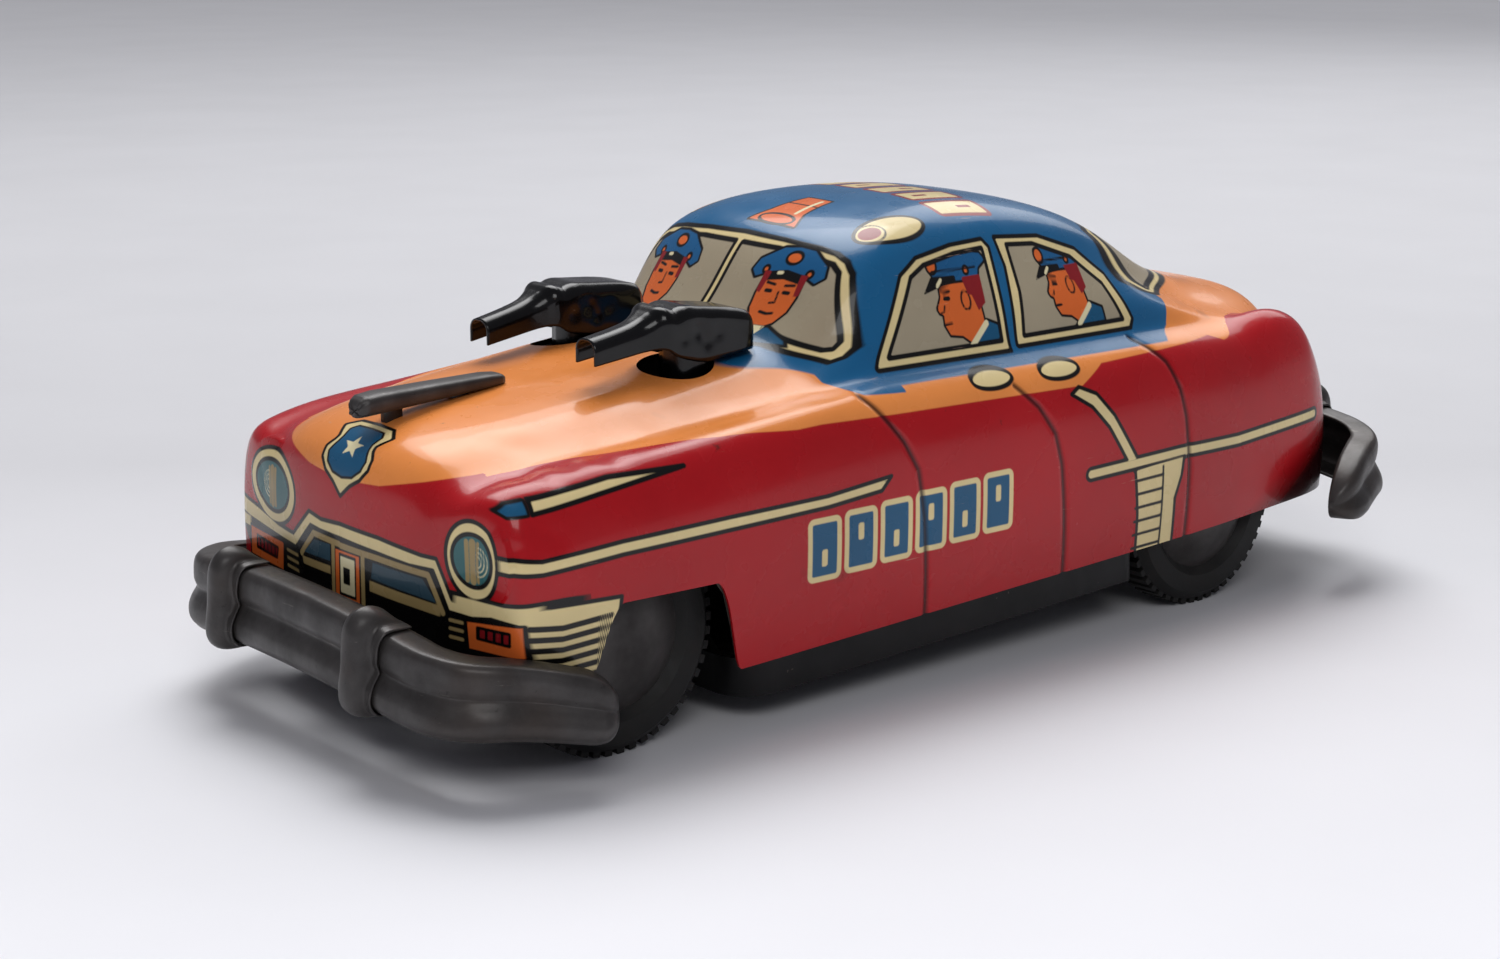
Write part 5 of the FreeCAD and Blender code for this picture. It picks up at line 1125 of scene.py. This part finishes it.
def gunMeshes(side):
    # The smoothed sections from muzzle to breech, closed by a round rear wall, dented and tilted; and the stem
    sections = [(row[0], gunSection(*row[1:])) for row in smoothRows(gun["stations"], 14)]
    grid = [np.column_stack([np.full(len(section), x), section]) for x, section in sections]
    last = grid[-1]
    for turn in np.linspace(0, np.pi / 2, gun["endSteps"])[1:]:
        grid.append(last * (1, math.cos(turn), 1) + (-gun["endRound"] * math.sin(turn), 0, 0))
    grid = np.array(grid)
    for x, across, height, size, depth in gun["dents"]:
        near = np.exp(-((grid[..., 0] - x) ** 2 + (grid[..., 2] - height) ** 2) / size ** 2)
        near = near * (np.sign(grid[..., 1]) == across) * (np.abs(grid[..., 1]) > 3)
        grid[..., 1] -= across * depth * near
    grid[..., 2] -= gun["dip"][side] * (grid[..., 0] - gun["stem"][0])
    shell = sheetMesh(grid, gun["sheet"])
    x, length, width, foot = gun["stem"]
    heights = np.linspace(foot, 62.8, 12)
    corners = np.array([(-1, -1), (1, -1), (1, 1), (-1, 1)]) * (length / 2, width / 2)
    ring = np.concatenate([np.linspace(a, b, 4, endpoint=False)
                           for a, b in zip(corners, np.roll(corners, -1, 0))])
    tube = np.array([np.column_stack([ring + (x, 0), np.full(len(ring), h)]) for h in heights])
    stem = sheetMesh(tube, 1.0, wrapCols=True)
    return [(points + (0, side * gun["y"], 0), turnOutwards(points, faces)) for points, faces in (shell, stem)]


def makeGuns():
    # Both guns ride on the rocker
    material = layeredMaterial("glossyBlackEnamel")
    for name, side in (("left", 1), ("right", -1)):
        points, faces = joinMeshes(gunMeshes(side))
        makePiece(name + "Gun", points, faces, material, "gun_rocker", (name + "_gun",), "gun_black")


# Bonnet ornament
ornament = {
    "front": 101.0, "rear": 73.5, "rearTop": 54.9, "frontTop": 54.2, "depth": 3.6, "half": 2.7,
    # share of the length, share of the width, fall of the top
    "shape": [(0, 0.5, 0.8), (0.03, 0.72, 0.35), (0.12, 0.86, 0.1), (0.5, 0.96, 0), (0.85, 1, 0),
        (0.95, 0.93, 0.25), (0.99, 0.74, 0.9), (1, 0.55, 1.6)],
    # share of the length, half length and half width of both feet
    "feet": [(0.3, 1.5, 0.8), (0.75, 1.5, 0.8)],
    "ripple": 0.16, "around": 48, "squareness": 0.62,
}


def ornamentMeshes():
    # Rows of a rounded rectangle, each a superellipse, closed at both ends, and two feet under it
    size = ornament
    shares = np.concatenate([1 - np.cos(np.linspace(0, np.pi / 2, 8)[:-1]), np.linspace(1, 9, 40),
                             9 + np.sin(np.linspace(0, np.pi / 2, 10)[1:])]) / 10
    steps = [p[0] for p in size["shape"]]
    wide = size["half"] * np.interp(shares, steps, [p[1] for p in size["shape"]])
    fall = np.interp(shares, steps, [p[2] for p in size["shape"]])
    top = size["rearTop"] + (size["frontTop"] - size["rearTop"]) * shares
    low = top - size["depth"] * (0.62 + 0.38 * shares)
    high = top - fall
    x = size["rear"] + (size["front"] - size["rear"]) * shares
    count, power = size["around"], size["squareness"]
    angle = np.linspace(0, 2 * np.pi, count, endpoint=False)
    across = np.sign(np.cos(angle)) * np.abs(np.cos(angle)) ** power
    rise = np.sign(np.sin(angle)) * np.abs(np.sin(angle)) ** power
    middle, half = (high + low) / 2, (high - low) / 2
    grid = np.stack([np.repeat(x[:, None], count, 1), wide[:, None] * across,
                     middle[:, None] + half[:, None] * rise], -1)
    front = np.clip((shares - 0.93) / 0.07, 0, 1)[:, None]
    grid[..., 0] -= size["ripple"] * front * (1 + np.sin(4 * np.pi * rise))
    # both ends close on their own middle
    first, last = (grid[row] * (1, 0, 0) + (0, 0, middle[row]) for row in (0, -1))
    grid = np.concatenate([first[None], grid, last[None]])
    parts = [(grid.reshape(-1, 3), gridFaces(*grid.shape[:2], wrapCols=True))]
    for share, halfLength, halfWidth in size["feet"]:
        at = size["rear"] + (size["front"] - size["rear"]) * share
        level = size["rearTop"] + (size["frontTop"] - size["rearTop"]) * share
        ring = np.array([(-1, -1), (1, -1), (1, 1), (-1, 1)]) * (halfLength, halfWidth)
        box = np.array([np.column_stack([ring * scale + (at, 0), np.full(4, level - drop)])
                        for drop, scale in ((5.2, 0), (5.2, 1), (1.0, 1), (1.0, 0))])
        parts.append((box.reshape(-1, 3), gridFaces(4, 4, wrapCols=True)))
    return [(points, turnOutwards(points, faces)) for points, faces in parts]


keptMeshes = {
    "blackEnamelTray": ["base_plate", "front_bumper_arms", "rear_bumper_arms"],
    "platedSteel": ["base_rivets", "front_axle_bracket", "left_motor_plate", "right_motor_plate",
        "frame_pillars", "rocker_bracket", "rocker_pin", "front_axle", "rear_axle", "second_arbor",
        "flick_arbor", "click_pin", "winding_arbor", "gun_rocker", "ratchet_wheel", "click", "star_wheel"],
    "bluedSpringSteel": ["mainspring", "rocker_spring", "click_spring"],
    "gearBrass": ["axle_pinion", "second_pinion", "second_wheel", "flick_pinion", "great_wheel"],
    "nickelledKey": ["winding_key"],
    "hubTinplate": ["front_left_hub", "front_right_hub", "rear_left_hub", "rear_right_hub"],
    "blackRubber": ["front_left_tyre", "front_right_tyre", "rear_left_tyre", "rear_right_tyre"],
}


def dressKeptMeshes():
    # The construction meshes stay as they are and only get their materials
    for name, nodes in keptMeshes.items():
        material = layeredMaterial(name)
        for node in nodes:
            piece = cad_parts[node]
            piece.data.materials.clear()
            piece.data.materials.append(material)


# Camera, floor and lights
studio = {
    "camera": (0.3079, 0.3464, 0.1301), "back": (0.619, 0.750, 0.2345), "roll": 0.168,
    "lens": 63.33, "shift": (0.0018, -0.0011),
    "floor": "#EFEFF3", "backdrop": "#C3C3CD", "world": 0.34, "extent": 40.0,
    # painted light and shade on the floor: the tone of its colour over the distance away from the camera, in
    # metres
    "tone": [(-0.16, 0.96), (0.12, 0.66), (1.6, 0.72)],
    # a wide distant light: where it comes from, its angle in degrees and its strength
    "distant": ((-0.30, -0.60, 1.0), 42.0, 1.42),
    # soft lights: place, aim, width, height and watts
    "lights": [((-0.25, -0.35, 1.05), (0.0, 0.05, 0.03), 0.9, 0.7, 6.5),
        ((-1.1, -0.5, 0.8), (0.0, 0.0, 0.03), 0.8, 0.6, 3.0),
        ((0.75, 0.95, 0.9), (0.2, 0.2, 0.0), 0.7, 0.5, 5.0)],
}


def stageLight(lamp, place, turn):
    # The lamp's object at its place, turned as the quaternion says
    light = bpy.data.objects.new(lamp.name, lamp)
    light.location = place
    light.rotation_euler = turn.to_euler()
    bpy.context.scene.collection.objects.link(light)


def makeStudio():
    # Camera, floor with painted light and shade in its colour, pale world, soft square lights and one wide
    # distant light
    scene = bpy.context.scene
    # camera axes: away from the scene, to the right, and up, turned by the roll
    back = Vector(studio["back"]).normalized()
    right = Vector((0, 0, 1)).cross(back).normalized()
    up = back.cross(right)
    turn = Matrix.Rotation(math.radians(studio["roll"]), 3, back)
    axes = Matrix((turn @ right, turn @ up, back)).transposed().to_4x4()
    data = bpy.data.cameras.new("camera")
    data.lens, data.sensor_width = studio["lens"], 36.0
    data.shift_x, data.shift_y = studio["shift"]
    data.clip_start, data.clip_end = 0.01, 100
    camera = bpy.data.objects.new("camera", data)
    camera.matrix_world = Matrix.Translation(studio["camera"]) @ axes
    scene.collection.objects.link(camera)
    scene.camera = camera
    # floor: a wide plane just under the tyres
    low = -groundDrop * millimetre
    size = studio["extent"]
    mesh = bpy.data.meshes.new("studioFloor")
    mesh.from_pydata([(-size, -size, low), (size, -size, low), (size, size, low), (-size, size, low)], [],
                     [(0, 1, 2, 3)])
    floor = bpy.data.objects.new("studioFloor", mesh)
    scene.collection.objects.link(floor)
    material, tree, shader, place = startMaterial("paperFloor", {"Roughness": 0.9, "Specular IOR Level": 0.1})
    # painted light and shade: the floor's colour grows lighter or darker with the distance away from the
    # camera, and the paper's grain goes on top
    away = addNode(tree, "ShaderNodeVectorMath", {"operation": "DOT_PRODUCT", 1: (-0.636, -0.771, 0.0)},
                   {0: place}).outputs["Value"]
    (nearPlace, nearPaintedLight), (middlePlace, middlePaintedLight), (farPlace, farPaintedLight) = studio["tone"]
    first = remap(tree, away, nearPlace, middlePlace, nearPaintedLight, middlePaintedLight)
    second = remap(tree, away, middlePlace, farPlace, 1.0, farPaintedLight / middlePaintedLight)
    grain = remap(tree, noise(tree, place, 60, 3), 0.3, 0.7, 0.985, 1.015)
    for tone in (first, second):
        grain = addNode(tree, "ShaderNodeMath", {"operation": "MULTIPLY"}, {0: tone, 1: grain}).outputs[0]
    tone = addNode(tree, "ShaderNodeCombineColor", links={"Red": grain, "Green": grain, "Blue": grain})
    colour = mixColours(tree, 1.0, linearColour(studio["floor"]), tone.outputs[0], "MULTIPLY")
    tree.links.new(colour, shader.inputs["Base Color"])
    mesh.materials.append(material)
    world = bpy.data.worlds.new("studioWorld")
    scene.world = world
    world.use_nodes = True
    background = world.node_tree.nodes["Background"]
    background.inputs["Color"].default_value = linearColour(studio["backdrop"])
    background.inputs["Strength"].default_value = studio["world"]
    for index, (place, aim, width, height, watts) in enumerate(studio["lights"]):
        lamp = bpy.data.lights.new(f"softLight{index}", "AREA")
        lamp.shape, lamp.size, lamp.size_y, lamp.energy = "RECTANGLE", width, height, watts
        stageLight(lamp, place, (Vector(aim) - Vector(place)).to_track_quat("-Z", "Y"))
    origin, angle, strength = studio["distant"]
    sun = bpy.data.lights.new("wideLight", "SUN")
    sun.angle, sun.energy = math.radians(angle), strength
    stageLight(sun, (0, 0, 0), Vector(origin).to_track_quat("Z", "Y"))
    scene.view_settings.view_transform = "Standard"


greyTin = layeredMaterial("tarnishedTin")
makeBumpers(greyTin)
print("bumpers and guards made")
makeGuns()
print("guns made")
makePiece("bonnetOrnament", *joinMeshes(ornamentMeshes()), greyTin, "frame", ("bonnet_ornament",), "grey_tin")
print("bonnet ornament made")
dressKeptMeshes()
print("construction meshes dressed")
makeStudio()
print("studio made")
